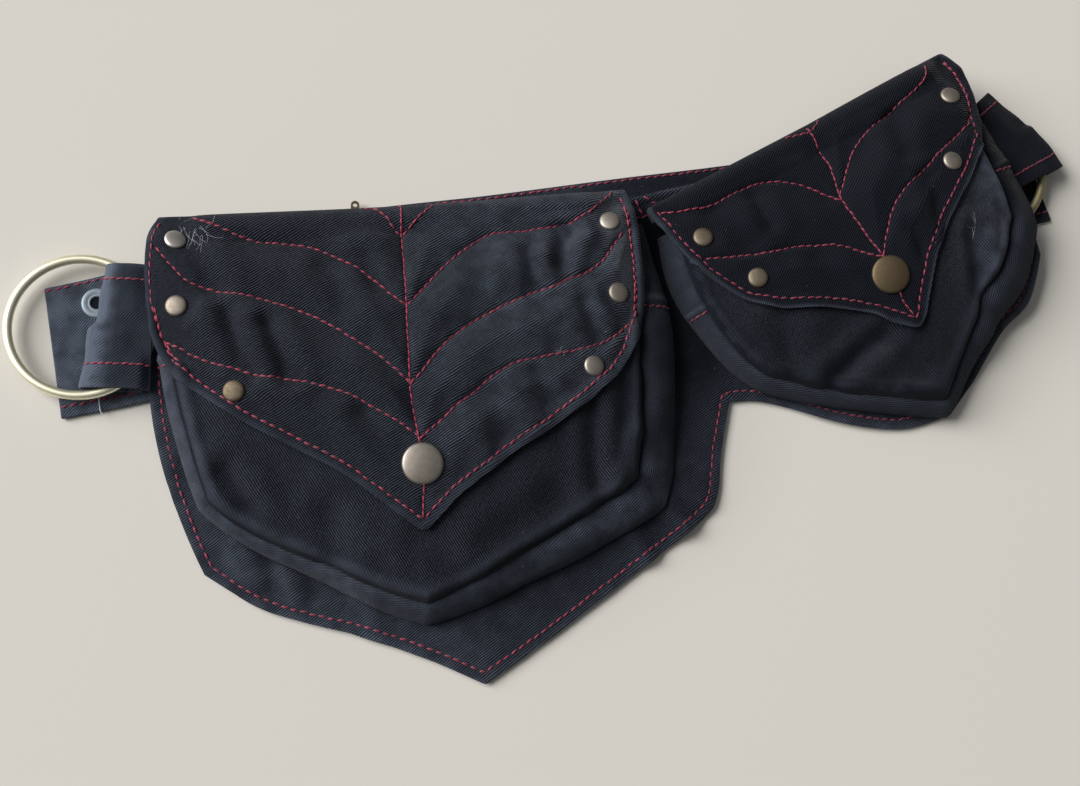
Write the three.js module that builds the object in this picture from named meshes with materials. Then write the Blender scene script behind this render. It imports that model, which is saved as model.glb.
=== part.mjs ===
// Pocket belt: a shaped cloth panel that carries two gusseted pouches, with a ring in a loop at each end.
// Millimetres. +X runs along the belt from the large pouch to the small one, +Y is up on the wearer and
// +Z faces away from the body. The belt lies on its back, on the plane z = 0.
import * as THREE from 'three';

const { smoothstep, lerp } = THREE.MathUtils;

// Thickness of each cloth, and the clearance that neighbouring pieces keep
const STRAP_THICK = 1.6;
const PANEL_THICK = 2.0;
const FLAP_THICK = 2.0;
const FRONT_THICK = 1.6;
const GUSSET_THICK = 1.4;
const LOOP_THICK = 1.2;
const CLEARANCE = 0.4;

// Strap behind the panel, by its centre line from the left end to the right end
const STRAP_WIDTH = 50;
const STRAP_LINE = [
  { x: -176, y: 9.6 },
  { x: -147, y: 18 },
  { x: -108, y: 32 },
  { x: -69, y: 45 },
  { x: -15, y: 56 },
  { x: 38, y: 66 },
  { x: 90, y: 76 },
  { x: 150, y: 90 },
  { x: 210, y: 108 },
];

// Back panel, a row for each section from its upper edge to its lower edge, left to right
const PANEL_BOW = { left: 12, right: 6 };
const PANEL_SECTIONS = [
  { topX: -139.5, topY: 55.5, lowX: -119.5, lowY: -69, corner: true },
  { topX: -118, topY: 58.5, lowX: -99.5, lowY: -80.5 },
  { topX: -94, topY: 61.5, lowX: -81, lowY: -86 },
  { topX: -74, topY: 64, lowX: -63.5, lowY: -90 },
  { topX: -54, topY: 66.5, lowX: -39, lowY: -98 },
  { topX: -36, topY: 69, lowX: -18.5, lowY: -106.5, corner: true },
  { topX: -22, topY: 70.5, lowX: 8.5, lowY: -87.5 },
  { topX: -4.5, topY: 73, lowX: 41.5, lowY: -62.5 },
  { topX: 10, topY: 74.5, lowX: 64, lowY: -44.5 },
  { topX: 18, topY: 76, lowX: 70, lowY: -34.5 },
  { topX: 28, topY: 78.5, lowX: 72.5, lowY: -17 },
  { topX: 40, topY: 82, lowX: 76, lowY: 1.5, corner: true },
  { topX: 54.5, topY: 86.5, lowX: 86, lowY: 2.3 },
  { topX: 70, topY: 91, lowX: 100, lowY: 0 },
  { topX: 88, topY: 98, lowX: 120, lowY: -5 },
  { topX: 106, topY: 107.5, lowX: 140.5, lowY: -7 },
  { topX: 120, topY: 115.5, lowX: 154, lowY: -5 },
  { topX: 132, topY: 122, lowX: 167, lowY: -0.5, corner: true },
  { topX: 141, topY: 127, lowX: 178, lowY: 14.5 },
  { topX: 150, topY: 131, lowX: 189.5, lowY: 34 },
  { topX: 160, topY: 135.5, lowX: 201, lowY: 46.5 },
  { topX: 170, topY: 139, lowX: 206.8, lowY: 66 },
];

// Pouches. Each has a frame of its own: its origin is the middle of the flap's fold, across runs along
// the fold and down runs away from it. Flap and front have a row for each section, left to right; the
// gusset's spread is how far it stands out at the panel, from the left mouth round to the right mouth.
// Dents are soft hollows in the front, which the flap follows.
const LARGE_POUCH = {
  name: 'large',
  x: -54.5,
  y: 69.5,
  turn: 7.2,
  fold: 0,
  rollRadius: 6.6,
  mouth: 13,
  seamHeight: 12,
  rise: 9.5,
  halfWidth: 89,
  flapBow: { left: 2.4, right: 1.5 },
  flap: [
    { top: -87, low: -94, down: 33 },
    { top: -82.5, low: -92.5, down: 47.5 },
    { top: -77, low: -86, down: 60 },
    { top: -70, low: -78.5, down: 67.5 },
    { top: -60, low: -65, down: 78.5 },
    { top: -46, low: -49, down: 89 },
    { top: -31, low: -33, down: 99.5 },
    { top: -19, low: -20.5, down: 110 },
    { top: -10, low: -11.5, down: 118.5 },
    { top: -3, low: -4.5, down: 123 },
    { top: 4, low: 2.5, down: 118.5 },
    { top: 12, low: 11, down: 111.5 },
    { top: 31, low: 32.5, down: 98 },
    { top: 47, low: 49.5, down: 89 },
    { top: 62, low: 68.5, down: 77 },
    { top: 71, low: 77, down: 69 },
    { top: 77.5, low: 83, down: 60 },
    { top: 82.5, low: 87, down: 49 },
    { top: 87, low: 89, down: 36 },
  ],
  frontBow: { left: 4, right: 3 },
  front: [
    { top: -87, low: -78, down: 105 },
    { top: -73, low: -70, down: 113 },
    { top: -58, low: -56, down: 122.5 },
    { top: -40, low: -38, down: 132 },
    { top: -22, low: -20, down: 142.5 },
    { top: -5, low: -5, down: 148.5, corner: true },
    { top: 12, low: 11, down: 143.5 },
    { top: 31, low: 29.5, down: 135 },
    { top: 48, low: 45.5, down: 128 },
    { top: 65, low: 62, down: 120 },
    { top: 85.5, low: 78, down: 112.5 },
  ],
  spread: [
    { foot: -0.5 },
    { foot: -0.5 },
    { foot: 2 },
    { foot: 3 },
    { foot: 7 },
    { foot: 13 },
    { foot: 15 },
    { foot: 15 },
    { foot: 9 },
  ],
  rivets: [
    { across: -82.5, down: 10 },
    { across: -83.5, down: 35 },
    { across: -66, down: 68.5 },
    { across: 79, down: 13.5 },
    { across: 77.5, down: 42.5 },
    { across: 64, down: 70 },
  ],
  snap: { across: -3, down: 100.5 },
  dents: [
    { across: -65, down: 42, radius: 13, depth: 1.4 },
    { across: -42, down: 54, radius: 14, depth: 1.6 },
    { across: 62, down: 20, radius: 14, depth: 1.2 },
    { across: 18, down: 46, radius: 13, depth: 1.4 },
    { across: 68, down: 56, radius: 12, depth: 1.4 },
    { across: -45, down: 108, radius: 16, depth: 1.6 },
    { across: 46, down: 106, radius: 16, depth: 1.6 },
  ],
};

const SMALL_POUCH = {
  name: 'small',
  x: 108,
  y: 110.5,
  turn: 30.6,
  fold: -2,
  rollRadius: 5.6,
  mouth: 11,
  seamHeight: 10,
  rise: 8,
  halfWidth: 75,
  flapBow: { left: 1.5, right: 2.5 },
  flap: [
    { top: -74.5, low: -71.3, down: 29 },
    { top: -67, low: -64, down: 45.8 },
    { top: -57, low: -55, down: 55 },
    { top: -46, low: -45.5, down: 60.7 },
    { top: -34, low: -34, down: 67 },
    { top: -24, low: -23, down: 75 },
    { top: -15, low: -15.5, down: 83 },
    { top: -8, low: -9.5, down: 89 },
    { top: -2, low: -3.5, down: 87 },
    { top: 3, low: 2.5, down: 79.8 },
    { top: 11, low: 10.5, down: 70 },
    { top: 21, low: 21.5, down: 60.7 },
    { top: 32, low: 33, down: 53.7 },
    { top: 44, low: 45, down: 46.8 },
    { top: 54, low: 54.6, down: 40.2 },
    { top: 61, low: 61.3, down: 32 },
    { top: 67, low: 66.3, down: 21 },
  ],
  frontBow: { left: 5, right: 1 },
  front: [
    { top: -69, low: -72, down: 67 },
    { top: -62, low: -67, down: 76.5 },
    { top: -52, low: -57, down: 86 },
    { top: -41, low: -45, down: 95.5 },
    { top: -29, low: -32, down: 104.5 },
    { top: -8, low: -8.5, down: 119.3, corner: true },
    { top: 8, low: 7.5, down: 107 },
    { top: 18, low: 17, down: 99.5 },
    { top: 28, low: 27, down: 90.8 },
    { top: 41, low: 40, down: 84 },
    { top: 57, low: 54.3, down: 70.5 },
  ],
  spread: [
    { foot: 6 },
    { foot: 7 },
    { foot: 5 },
    { foot: 4.5 },
    { foot: 5 },
    { foot: 11 },
    { foot: 13 },
    { foot: 11 },
    { foot: 9 },
  ],
  rivets: [
    { across: -64, down: 18.6 },
    { across: -54.6, down: 42.7 },
    { across: 56.5, down: 16 },
    { across: 38.3, down: 40 },
  ],
  snap: { across: -8.4, down: 66.6 },
  dents: [
    { across: -40, down: 22, radius: 13, depth: 1.2 },
    { across: 26, down: 24, radius: 13, depth: 1.2 },
    { across: -32, down: 80, radius: 13, depth: 1.6 },
    { across: 30, down: 68, radius: 12, depth: 1.4 },
  ],
};

// Heights over the panel and the flap's root
const FLAP_LIFT = (FRONT_THICK + FLAP_THICK) / 2 + 2 * CLEARANCE;
const ROOT_HEIGHT = FLAP_THICK / 2 + 1.5 * CLEARANCE;
const ROOT_TAIL = 4;
const GUSSET_FOOT = GUSSET_THICK / 2 + 1.25 * CLEARANCE;
const GUSSET_HEAD = FRONT_THICK / 2 + 2 * CLEARANCE + GUSSET_THICK / 2;
const SEAM_INSET = 1.2;
const GUSSET_BULGE = 1.2;
const GUSSET_PUFF = 0.25;
const ROLL_SETTLES = 25;
const CROWN_SHAPE = { side: 2.5, along: 0.9 };

// Steps that each piece is divided into
const STRAP_STEPS = { across: 24, down: 3 };
const PANEL_ROWS = 9;
const FRONT_ROWS = 7;
const FLAP_ROWS = 12;
const GUSSET_STEPS = { across: 36, down: 3 };
const LOOP_STEPS = { across: 5, down: 18 };
const RING_STEPS = { wire: 8, round: 36 };
const RIVET_SIDES = 10;
const SNAP_SIDES = 20;

// Metal
const CAP_GAP = 0.6;
const RIVET_RADIUS = 3.9;
const RIVET_HEIGHT = 1.9;
const SNAP_RADIUS = 7.5;
const SNAP_HEIGHT = 2.9;
const RING_RADIUS = 25.4;
const RING_WIRE = 1.7;
const EYELET = { x: -162.5, y: 29, outer: 5.6, hole: 2.6, height: 0.8, gap: 0.3, sides: 16 };
const PULL = { x: -70.2, low: 65.4, length: 8.4, width: 3.2, thick: 1.2, hole: 0.9 };

// Ring loops: a strip folded round the ring's wire. Each has a frame of its own, with its origin in the
// ring's middle and out running away from the panel. A row for each point of the strip's side view.
const LEFT_LOOP = {
  x: -169.2,
  y: 18.8,
  turn: 180,
  halfWidth: 22,
  flare: 2.8,
  profile: [
    { out: -28.2, up: 9.1 },
    { out: -20, up: 9.2 },
    { out: -12, up: 8.9 },
    { out: -8, up: 7.6 },
    { out: -6.8, up: 6.1 },
    { out: -8, up: 4.6 },
    { out: -12, up: 3.5 },
    { out: -20, up: 3.4 },
    { out: -25, up: 3.3 },
  ],
};
const RIGHT_LOOP = {
  x: 188.5,
  y: 102.3,
  turn: 44.7,
  halfWidth: 21,
  flare: 0,
  profile: [
    { out: 13.4, up: 10.9 },
    { out: 17, up: 10.2 },
    { out: 22, up: 9 },
    { out: 26, up: 7.8 },
    { out: 27.6, up: 5.9 },
    { out: 26, up: 3.9 },
    { out: 22, up: 2.7 },
    { out: 16, up: 2.6 },
    { out: 10, up: 2.6 },
  ],
};
const LEFT_RING = { x: -167.2, y: 18.9, z: 5.7, tilt: -2 };
const RIGHT_RING = { x: 186.6, y: 102.5, z: 5.8, tilt: 0 };

// Supports under the panel: it lies on the floor, over the strap and over the right ring
const STRAP_REST = STRAP_THICK + CLEARANCE;
const RING_REST = RIGHT_RING.z + RING_WIRE + CLEARANCE;
const SUPPORT_MARGIN = 13;
const STRAP_DRAPE = 25;
const RING_DRAPE = 60;

const CLOTH = { color: 0x23262c, roughness: 0.92, metalness: 0 };
const BRASS = { color: 0xa8946a, roughness: 0.35, metalness: 1 };
const DARK_BRASS = { color: 0x7a6f63, roughness: 0.4, metalness: 1 };
const STEEL = { color: 0x77787a, roughness: 0.4, metalness: 1 };

const belt = new THREE.Group();

function addMesh(name, geometry, finish) {
  const mesh = new THREE.Mesh(geometry, new THREE.MeshStandardMaterial(finish));
  mesh.name = name;
  belt.add(mesh);
  return mesh;
}

// A smooth in-between row of a table; a corner row keeps its point sharp
function sectionAt(rows, place) {
  const i = Math.min(Math.floor(place), rows.length - 2);
  const [a, b] = [rows[i], rows[i + 1]];
  const before = i === 0 || a.corner ? a : rows[i - 1];
  const after = i + 2 === rows.length || b.corner ? b : rows[i + 2];
  const t = place - i;
  const row = {};
  for (const key of Object.keys(a).filter((k) => k !== 'corner')) {
    const leave = (b[key] - before[key]) / 2;
    const arrive = (after[key] - a[key]) / 2;
    row[key] = a[key] * (1 + 2 * t) * (1 - t) ** 2 + leave * t * (1 - t) ** 2
      + b[key] * t * t * (3 - 2 * t) + arrive * t * t * (t - 1);
  }
  return row;
}

// A closed sheet of cloth, with its middle surface given by pointAt(u, v)
function sheet(acrossSteps, downSteps, thick, pointAt) {
  const columns = [];
  for (let i = 0; i <= acrossSteps; i += 1) {
    const column = [];
    for (let j = 0; j <= downSteps; j += 1) column.push(pointAt(i / acrossSteps, j / downSteps));
    columns.push(column);
  }
  const rowLength = downSteps + 1;
  const faceSize = (acrossSteps + 1) * rowLength;
  const position = new Float32Array(faceSize * 2 * 3);
  columns.forEach((column, i) => column.forEach((point, j) => {
    const right = columns[Math.min(i + 1, acrossSteps)][j].clone();
    const left = columns[Math.max(i - 1, 0)][j];
    const below = column[Math.min(j + 1, downSteps)].clone();
    const above = column[Math.max(j - 1, 0)];
    const normal = below.sub(above).cross(right.sub(left)).normalize();
    const at = i * rowLength + j;
    point.clone().addScaledVector(normal, thick / 2).toArray(position, at * 3);
    point.clone().addScaledVector(normal, -thick / 2).toArray(position, (faceSize + at) * 3);
  }));
  const index = [];
  const addQuad = (a, b, c, d) => index.push(a, b, c, a, c, d);
  for (let i = 0; i < acrossSteps; i += 1) {
    for (let j = 0; j < downSteps; j += 1) {
      const at = i * rowLength + j;
      addQuad(at, at + 1, at + rowLength + 1, at + rowLength);
      const under = faceSize + at;
      addQuad(under, under + rowLength, under + rowLength + 1, under + 1);
    }
  }
  const rim = [];
  for (let j = 0; j < downSteps; j += 1) rim.push(j);
  for (let i = 0; i < acrossSteps; i += 1) rim.push(i * rowLength + downSteps);
  for (let j = downSteps; j > 0; j -= 1) rim.push(acrossSteps * rowLength + j);
  for (let i = acrossSteps; i > 0; i -= 1) rim.push(i * rowLength);
  rim.forEach((p, i) => {
    const q = rim[(i + 1) % rim.length];
    addQuad(faceSize + p, faceSize + q, q, p);
  });
  const geometry = new THREE.BufferGeometry();
  geometry.setAttribute('position', new THREE.BufferAttribute(position, 3));
  geometry.setIndex(index);
  geometry.computeVertexNormals();
  return geometry;
}

// Strap
const strapCurve = new THREE.CatmullRomCurve3(STRAP_LINE.map(({ x, y }) => new THREE.Vector3(x, y, 0)));
const strapPoints = strapCurve.getPoints(STRAP_STEPS.across * 4);

function strapPoint(u, v) {
  const middle = strapCurve.getPoint(u);
  const along = strapCurve.getTangent(u);
  const side = new THREE.Vector3(-along.y, along.x, 0);
  return middle.addScaledVector(side, STRAP_WIDTH * (0.5 - v)).setZ(STRAP_THICK / 2);
}
addMesh('back_strap', sheet(STRAP_STEPS.across, STRAP_STEPS.down, STRAP_THICK, strapPoint), CLOTH);

// Height of the panel's underside: it drops to the floor a little way past what holds it up
function drape(x, y) {
  const point = new THREE.Vector3(x, y, 0);
  const fromStrap = Math.min(...strapPoints.map((p) => p.distanceTo(point))) - STRAP_WIDTH / 2;
  const fromRing = Math.hypot(x - RIGHT_RING.x, y - RIGHT_RING.y) - RING_RADIUS;
  const onStrap = STRAP_REST * (1 - smoothstep(fromStrap, SUPPORT_MARGIN, SUPPORT_MARGIN + STRAP_DRAPE));
  const onRing = RING_REST * (1 - smoothstep(fromRing, SUPPORT_MARGIN, SUPPORT_MARGIN + RING_DRAPE));
  return Math.max(onStrap, onRing);
}

// How far the first and last sections of a ruled piece bow out at a place along them
function bowAt(bow, u, count, v) {
  const last = count - 1;
  const left = Math.max(0, 1 - u * last);
  const right = Math.max(0, 1 - (1 - u) * last);
  return (bow.right * right - bow.left * left) * 4 * v * (1 - v);
}

// Panel
function panelPoint(u, v) {
  const row = sectionAt(PANEL_SECTIONS, u * (PANEL_SECTIONS.length - 1));
  const x = lerp(row.topX, row.lowX, v) + bowAt(PANEL_BOW, u, PANEL_SECTIONS.length, v);
  const y = lerp(row.topY, row.lowY, v);
  return new THREE.Vector3(x, y, drape(x, y) + PANEL_THICK / 2);
}
const panelSteps = 2 * (PANEL_SECTIONS.length - 1);
addMesh('back_panel', sheet(panelSteps, PANEL_ROWS, PANEL_THICK, panelPoint), CLOTH);

// A place in a pouch's frame, at a height over the panel
function onPouch(pouch, across, down, height) {
  const turn = THREE.MathUtils.degToRad(pouch.turn);
  const x = pouch.x + across * Math.cos(turn) + down * Math.sin(turn);
  const y = pouch.y + across * Math.sin(turn) - down * Math.cos(turn);
  return new THREE.Vector3(x, y, drape(x, y) + PANEL_THICK + height);
}

// How far down the front's lower edge lies
function lowEdge(pouch, across) {
  const rows = pouch.front;
  const next = rows.findIndex((row) => row.low >= across);
  if (next <= 0) return next === 0 ? rows[0].down : rows[rows.length - 1].down;
  const [a, b] = [rows[next - 1], rows[next]];
  return lerp(a.down, b.down, (across - a.low) / (b.low - a.low));
}

// Height of the pouch's crowned front over the panel
function frontHeight(pouch, across, down) {
  const side = Math.max(0, 1 - Math.abs(across / pouch.halfWidth) ** CROWN_SHAPE.side);
  const along = (down - pouch.mouth) / (lowEdge(pouch, across) - pouch.mouth);
  const crown = Math.sin(Math.PI * THREE.MathUtils.clamp(along, 0, 1) ** CROWN_SHAPE.along);
  const dented = pouch.dents.reduce((sum, dent) => {
    const away = Math.hypot(across - dent.across, down - dent.down) / dent.radius;
    return sum + dent.depth * Math.exp(-away * away);
  }, 0);
  return pouch.seamHeight + pouch.rise * side * crown - dented;
}

function frontPlan(pouch, u, v) {
  const rows = pouch.front;
  const row = sectionAt(rows, u * (rows.length - 1));
  const across = lerp(row.top, row.low, v) + bowAt(pouch.frontBow, u, rows.length, v);
  return new THREE.Vector2(across, lerp(pouch.mouth, row.down, v));
}

function frontPoint(pouch, u, v) {
  const { x, y } = frontPlan(pouch, u, v);
  return onPouch(pouch, x, y, frontHeight(pouch, x, y));
}

// The line round the front that the gusset follows: left side, bottom and right side
function seamPlan(pouch, place) {
  const part = place * 3;
  if (part < 1) return frontPlan(pouch, 0, part);
  if (part < 2) return frontPlan(pouch, part - 1, 1);
  return frontPlan(pouch, 1, 3 - part);
}

function gussetPoint(pouch, u, v) {
  const step = 0.02;
  const seam = seamPlan(pouch, u);
  const run = seamPlan(pouch, Math.min(u + step, 1)).sub(seamPlan(pouch, Math.max(u - step, 0))).normalize();
  const outward = new THREE.Vector2(-run.y, run.x);
  const spread = sectionAt(pouch.spread, u * (pouch.spread.length - 1)).foot;
  const head = frontHeight(pouch, seam.x, seam.y) - GUSSET_HEAD;
  const reach = lerp(spread, -SEAM_INSET, v) + GUSSET_BULGE * 4 * v * (1 - v);
  const puff = GUSSET_PUFF * Math.max(0, spread) * 4 * v * (1 - v);
  const plan = seam.addScaledVector(outward, reach);
  return onPouch(pouch, plan.x, plan.y, lerp(GUSSET_FOOT, head, v) + puff);
}

// The flap's upper run lies on the front; it rolls over the fold to its root on the panel
function flapHeight(pouch, across, down, fromFold) {
  const rollTop = ROOT_HEIGHT + 2 * pouch.rollRadius;
  const extra = rollTop - pouch.seamHeight - FLAP_LIFT;
  const settled = smoothstep(fromFold, pouch.rollRadius, pouch.rollRadius + ROLL_SETTLES);
  return frontHeight(pouch, across, down) + FLAP_LIFT + extra * (1 - settled);
}

const ROOT_END = 1 / FLAP_ROWS;
const ROLL_END = 5 / FLAP_ROWS;

function flapPoint(pouch, u, v) {
  const rows = pouch.flap;
  const row = sectionAt(rows, u * (rows.length - 1));
  const radius = pouch.rollRadius;
  const length = Math.hypot(row.low - row.top, row.down - pouch.fold);
  let fromFold = radius + (length - radius) * Math.max(0, (v - ROLL_END) / (1 - ROLL_END));
  let height = null;
  if (v < ROOT_END) {
    fromFold = radius + ROOT_TAIL * (1 - v / ROOT_END);
    height = ROOT_HEIGHT;
  } else if (v < ROLL_END) {
    const angle = Math.PI * ((v - ROOT_END) / (ROLL_END - ROOT_END));
    fromFold = radius * (1 - Math.sin(angle));
    height = ROOT_HEIGHT + radius * (1 - Math.cos(angle));
  }
  const along = fromFold / length;
  const across = lerp(row.top, row.low, along) + bowAt(pouch.flapBow, u, rows.length, along);
  const down = lerp(pouch.fold, row.down, along);
  return onPouch(pouch, across, down, height ?? flapHeight(pouch, across, down, fromFold));
}

// Round caps, closed on their axis and standing along +Z
function capGeometry(radius, height, sides) {
  const rim = height * 0.3;
  const profile = [new THREE.Vector2(0, 0), new THREE.Vector2(radius, 0), new THREE.Vector2(radius, rim)];
  for (const angle of [30, 60, 90]) {
    const turn = THREE.MathUtils.degToRad(angle);
    const out = angle === 90 ? 0 : radius * Math.cos(turn);
    profile.push(new THREE.Vector2(out, rim + (height - rim) * Math.sin(turn)));
  }
  return new THREE.LatheGeometry(profile, sides).rotateX(Math.PI / 2);
}

// A cap standing on the flap, square to its surface
function addCap(name, pouch, spot, geometry, finish) {
  const step = 2;
  const at = (across, down) => (
    onPouch(pouch, across, down, flapHeight(pouch, across, down, down - pouch.fold)));
  const along = at(spot.across + step, spot.down).sub(at(spot.across - step, spot.down));
  const down = at(spot.across, spot.down + step).sub(at(spot.across, spot.down - step));
  const normal = down.cross(along).normalize();
  const cap = addMesh(name, geometry, finish);
  cap.quaternion.setFromUnitVectors(new THREE.Vector3(0, 0, 1), normal);
  cap.position.copy(at(spot.across, spot.down)).addScaledVector(normal, FLAP_THICK / 2 + CAP_GAP);
}

for (const pouch of [LARGE_POUCH, SMALL_POUCH]) {
  const { name } = pouch;
  const frontSteps = 2 * (pouch.front.length - 1);
  const flapSteps = 2 * (pouch.flap.length - 1) - 2;
  const front = sheet(frontSteps, FRONT_ROWS, FRONT_THICK, (u, v) => frontPoint(pouch, u, v));
  const { across, down } = GUSSET_STEPS;
  const gusset = sheet(across, down, GUSSET_THICK, (u, v) => gussetPoint(pouch, u, v));
  const flap = sheet(flapSteps, FLAP_ROWS, FLAP_THICK, (u, v) => flapPoint(pouch, u, v));
  addMesh(`${name}_pouch_front`, front, CLOTH);
  addMesh(`${name}_pouch_gusset`, gusset, CLOTH);
  addMesh(`${name}_flap`, flap, CLOTH);
  pouch.rivets.forEach((spot, i) => {
    const rivet = capGeometry(RIVET_RADIUS, RIVET_HEIGHT, RIVET_SIDES);
    addCap(`${name}_rivet_${i + 1}`, pouch, spot, rivet, DARK_BRASS);
  });
  const snap = capGeometry(SNAP_RADIUS, SNAP_HEIGHT, SNAP_SIDES);
  addCap(`${name}_snap_cap`, pouch, pouch.snap, snap, DARK_BRASS);
}

// Ring loops
function loopPoint(loop, u, v) {
  const turn = THREE.MathUtils.degToRad(loop.turn);
  const row = sectionAt(loop.profile, v * (loop.profile.length - 1));
  const side = loop.halfWidth * (1 - 2 * u);
  const [start, fold] = [loop.profile[0].out, Math.max(...loop.profile.map((point) => point.out))];
  const out = row.out + loop.flare * (side / loop.halfWidth) * ((row.out - start) / (fold - start));
  return new THREE.Vector3(
    loop.x + out * Math.cos(turn) - side * Math.sin(turn),
    loop.y + out * Math.sin(turn) + side * Math.cos(turn),
    row.up,
  );
}
for (const [name, loop] of [['left_ring_loop', LEFT_LOOP], ['right_ring_loop', RIGHT_LOOP]]) {
  const strip = sheet(LOOP_STEPS.across, LOOP_STEPS.down, LOOP_THICK, (u, v) => loopPoint(loop, u, v));
  addMesh(name, strip, CLOTH);
}

// Rings
function addRing(name, place) {
  const wire = new THREE.TorusGeometry(RING_RADIUS, RING_WIRE, RING_STEPS.wire, RING_STEPS.round);
  const ring = addMesh(name, wire, BRASS);
  ring.position.set(place.x, place.y, place.z);
  ring.rotation.y = THREE.MathUtils.degToRad(place.tilt);
}
addRing('left_ring', LEFT_RING);
addRing('right_ring', RIGHT_RING);

// Eyelet in the strap's end
const eyeletProfile = [
  new THREE.Vector2(EYELET.hole, 0),
  new THREE.Vector2(EYELET.outer, 0),
  new THREE.Vector2(EYELET.outer, EYELET.height * 0.4),
  new THREE.Vector2((EYELET.outer + EYELET.hole) / 2, EYELET.height),
  new THREE.Vector2(EYELET.hole, EYELET.height * 0.6),
  new THREE.Vector2(EYELET.hole, 0),
];
const eyeletGeometry = new THREE.LatheGeometry(eyeletProfile, EYELET.sides).rotateX(Math.PI / 2);
const eyelet = addMesh('strap_eyelet', eyeletGeometry, STEEL);
eyelet.position.set(EYELET.x, EYELET.y, STRAP_THICK + EYELET.gap);

// Zip pull: a flat tab with a round end and a hole
const pullShape = new THREE.Shape();
const pullEnd = PULL.length - PULL.width / 2;
pullShape.moveTo(-PULL.width / 2, 0);
pullShape.lineTo(PULL.width / 2, 0);
pullShape.lineTo(PULL.width / 2, pullEnd);
pullShape.absarc(0, pullEnd, PULL.width / 2, 0, Math.PI);
pullShape.holes.push(new THREE.Path().absarc(0, pullEnd, PULL.hole, 0, 2 * Math.PI));
const pullDepth = { depth: PULL.thick, bevelEnabled: false, curveSegments: 6 };
const pull = addMesh('zip_pull', new THREE.ExtrudeGeometry(pullShape, pullDepth), STEEL);
pull.position.set(PULL.x, PULL.low, STRAP_REST);

// The origin is under the middle of the belt, on the plane that it lies on
const box = new THREE.Box3().setFromObject(belt, true);
const middle = box.getCenter(new THREE.Vector3());
belt.position.set(-middle.x, -middle.y, -box.min.z);

export default belt;
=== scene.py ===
"""Pocket belt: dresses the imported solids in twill, topstitching and worn metal, ready to render."""
import math
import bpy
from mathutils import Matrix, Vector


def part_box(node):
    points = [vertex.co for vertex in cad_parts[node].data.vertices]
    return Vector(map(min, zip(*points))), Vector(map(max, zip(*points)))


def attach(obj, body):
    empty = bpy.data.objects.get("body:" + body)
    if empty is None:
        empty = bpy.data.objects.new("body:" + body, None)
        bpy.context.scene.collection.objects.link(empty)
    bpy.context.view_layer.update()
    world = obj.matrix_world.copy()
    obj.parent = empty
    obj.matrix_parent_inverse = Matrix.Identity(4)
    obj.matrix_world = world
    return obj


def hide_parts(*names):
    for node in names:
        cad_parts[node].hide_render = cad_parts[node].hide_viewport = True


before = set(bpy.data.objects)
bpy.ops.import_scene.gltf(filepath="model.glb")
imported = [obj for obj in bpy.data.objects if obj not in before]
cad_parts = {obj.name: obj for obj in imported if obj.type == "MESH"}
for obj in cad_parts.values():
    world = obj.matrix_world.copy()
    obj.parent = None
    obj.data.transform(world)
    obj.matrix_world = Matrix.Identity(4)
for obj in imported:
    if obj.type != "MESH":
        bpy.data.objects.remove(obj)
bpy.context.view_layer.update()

from types import SimpleNamespace

import bmesh
import bpy
import numpy as np
from mathutils import Matrix, Vector
from mathutils.kdtree import KDTree

bl_info = {
    "name": "Pocket belt",
    "version": (1, 0, 0),
    "blender": (4, 5, 0),
    "location": "View3D > Sidebar > Pocket belt",
    "description": "Builds a quilted cloth belt with two gusseted pouches around its packed solids",
    "category": "Object",
}

MM = 0.001

# Cloth thicknesses and heights, in millimetres, as in the solids
STRAP_THICK = 1.6
PANEL_THICK = 2.0
FLAP_THICK = 2.0
FRONT_THICK = 1.6
GUSSET_THICK = 1.4
LOOP_THICK = 1.2
CLEARANCE = 0.4
FLAP_LIFT = (FRONT_THICK + FLAP_THICK) / 2 + 2 * CLEARANCE
ROOT_HEIGHT = FLAP_THICK / 2 + 1.5 * CLEARANCE
ROOT_TAIL = 4.0
GUSSET_FOOT = GUSSET_THICK / 2 + 0.05
GUSSET_HEAD = FRONT_THICK / 2 + 2 * CLEARANCE + GUSSET_THICK / 2
SEAM_INSET = 1.2
ROLL_SETTLES = 25.0
ROLL_END_SETTLES = 9.0
ROLL_TAPER = 18.0
ROLL_SHUTS = 12.0
ROLL_SHUT_RADIUS = 1.1
SAG_WIDTH = 60.0
FLAP_CORNER = 0.6
CROWN_SIDE = 2.5
CROWN_ALONG = 0.9

# Metal sizes in millimetres
RIVET_RADIUS = 3.9
SNAP_RADIUS = 7.5
RING_RADIUS = 25.4
RING_WIRE = 1.7
EYELET = SimpleNamespace(x=-162.5, y=29.0, outer=5.6, hole=2.3, height=0.8)

# Strap behind the panel: its width, how far the corners of its left end are moved, and its centre line
STRAP_WIDTH = 50.0
STRAP_END = (1.4, -3.0)
STRAP_LINE = (
    (-176, 9.6), (-147, 18), (-108, 32), (-69, 45), (-15, 55.2), (38, 65.8), (90, 76), (150, 90), (210, 108),
)

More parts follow.
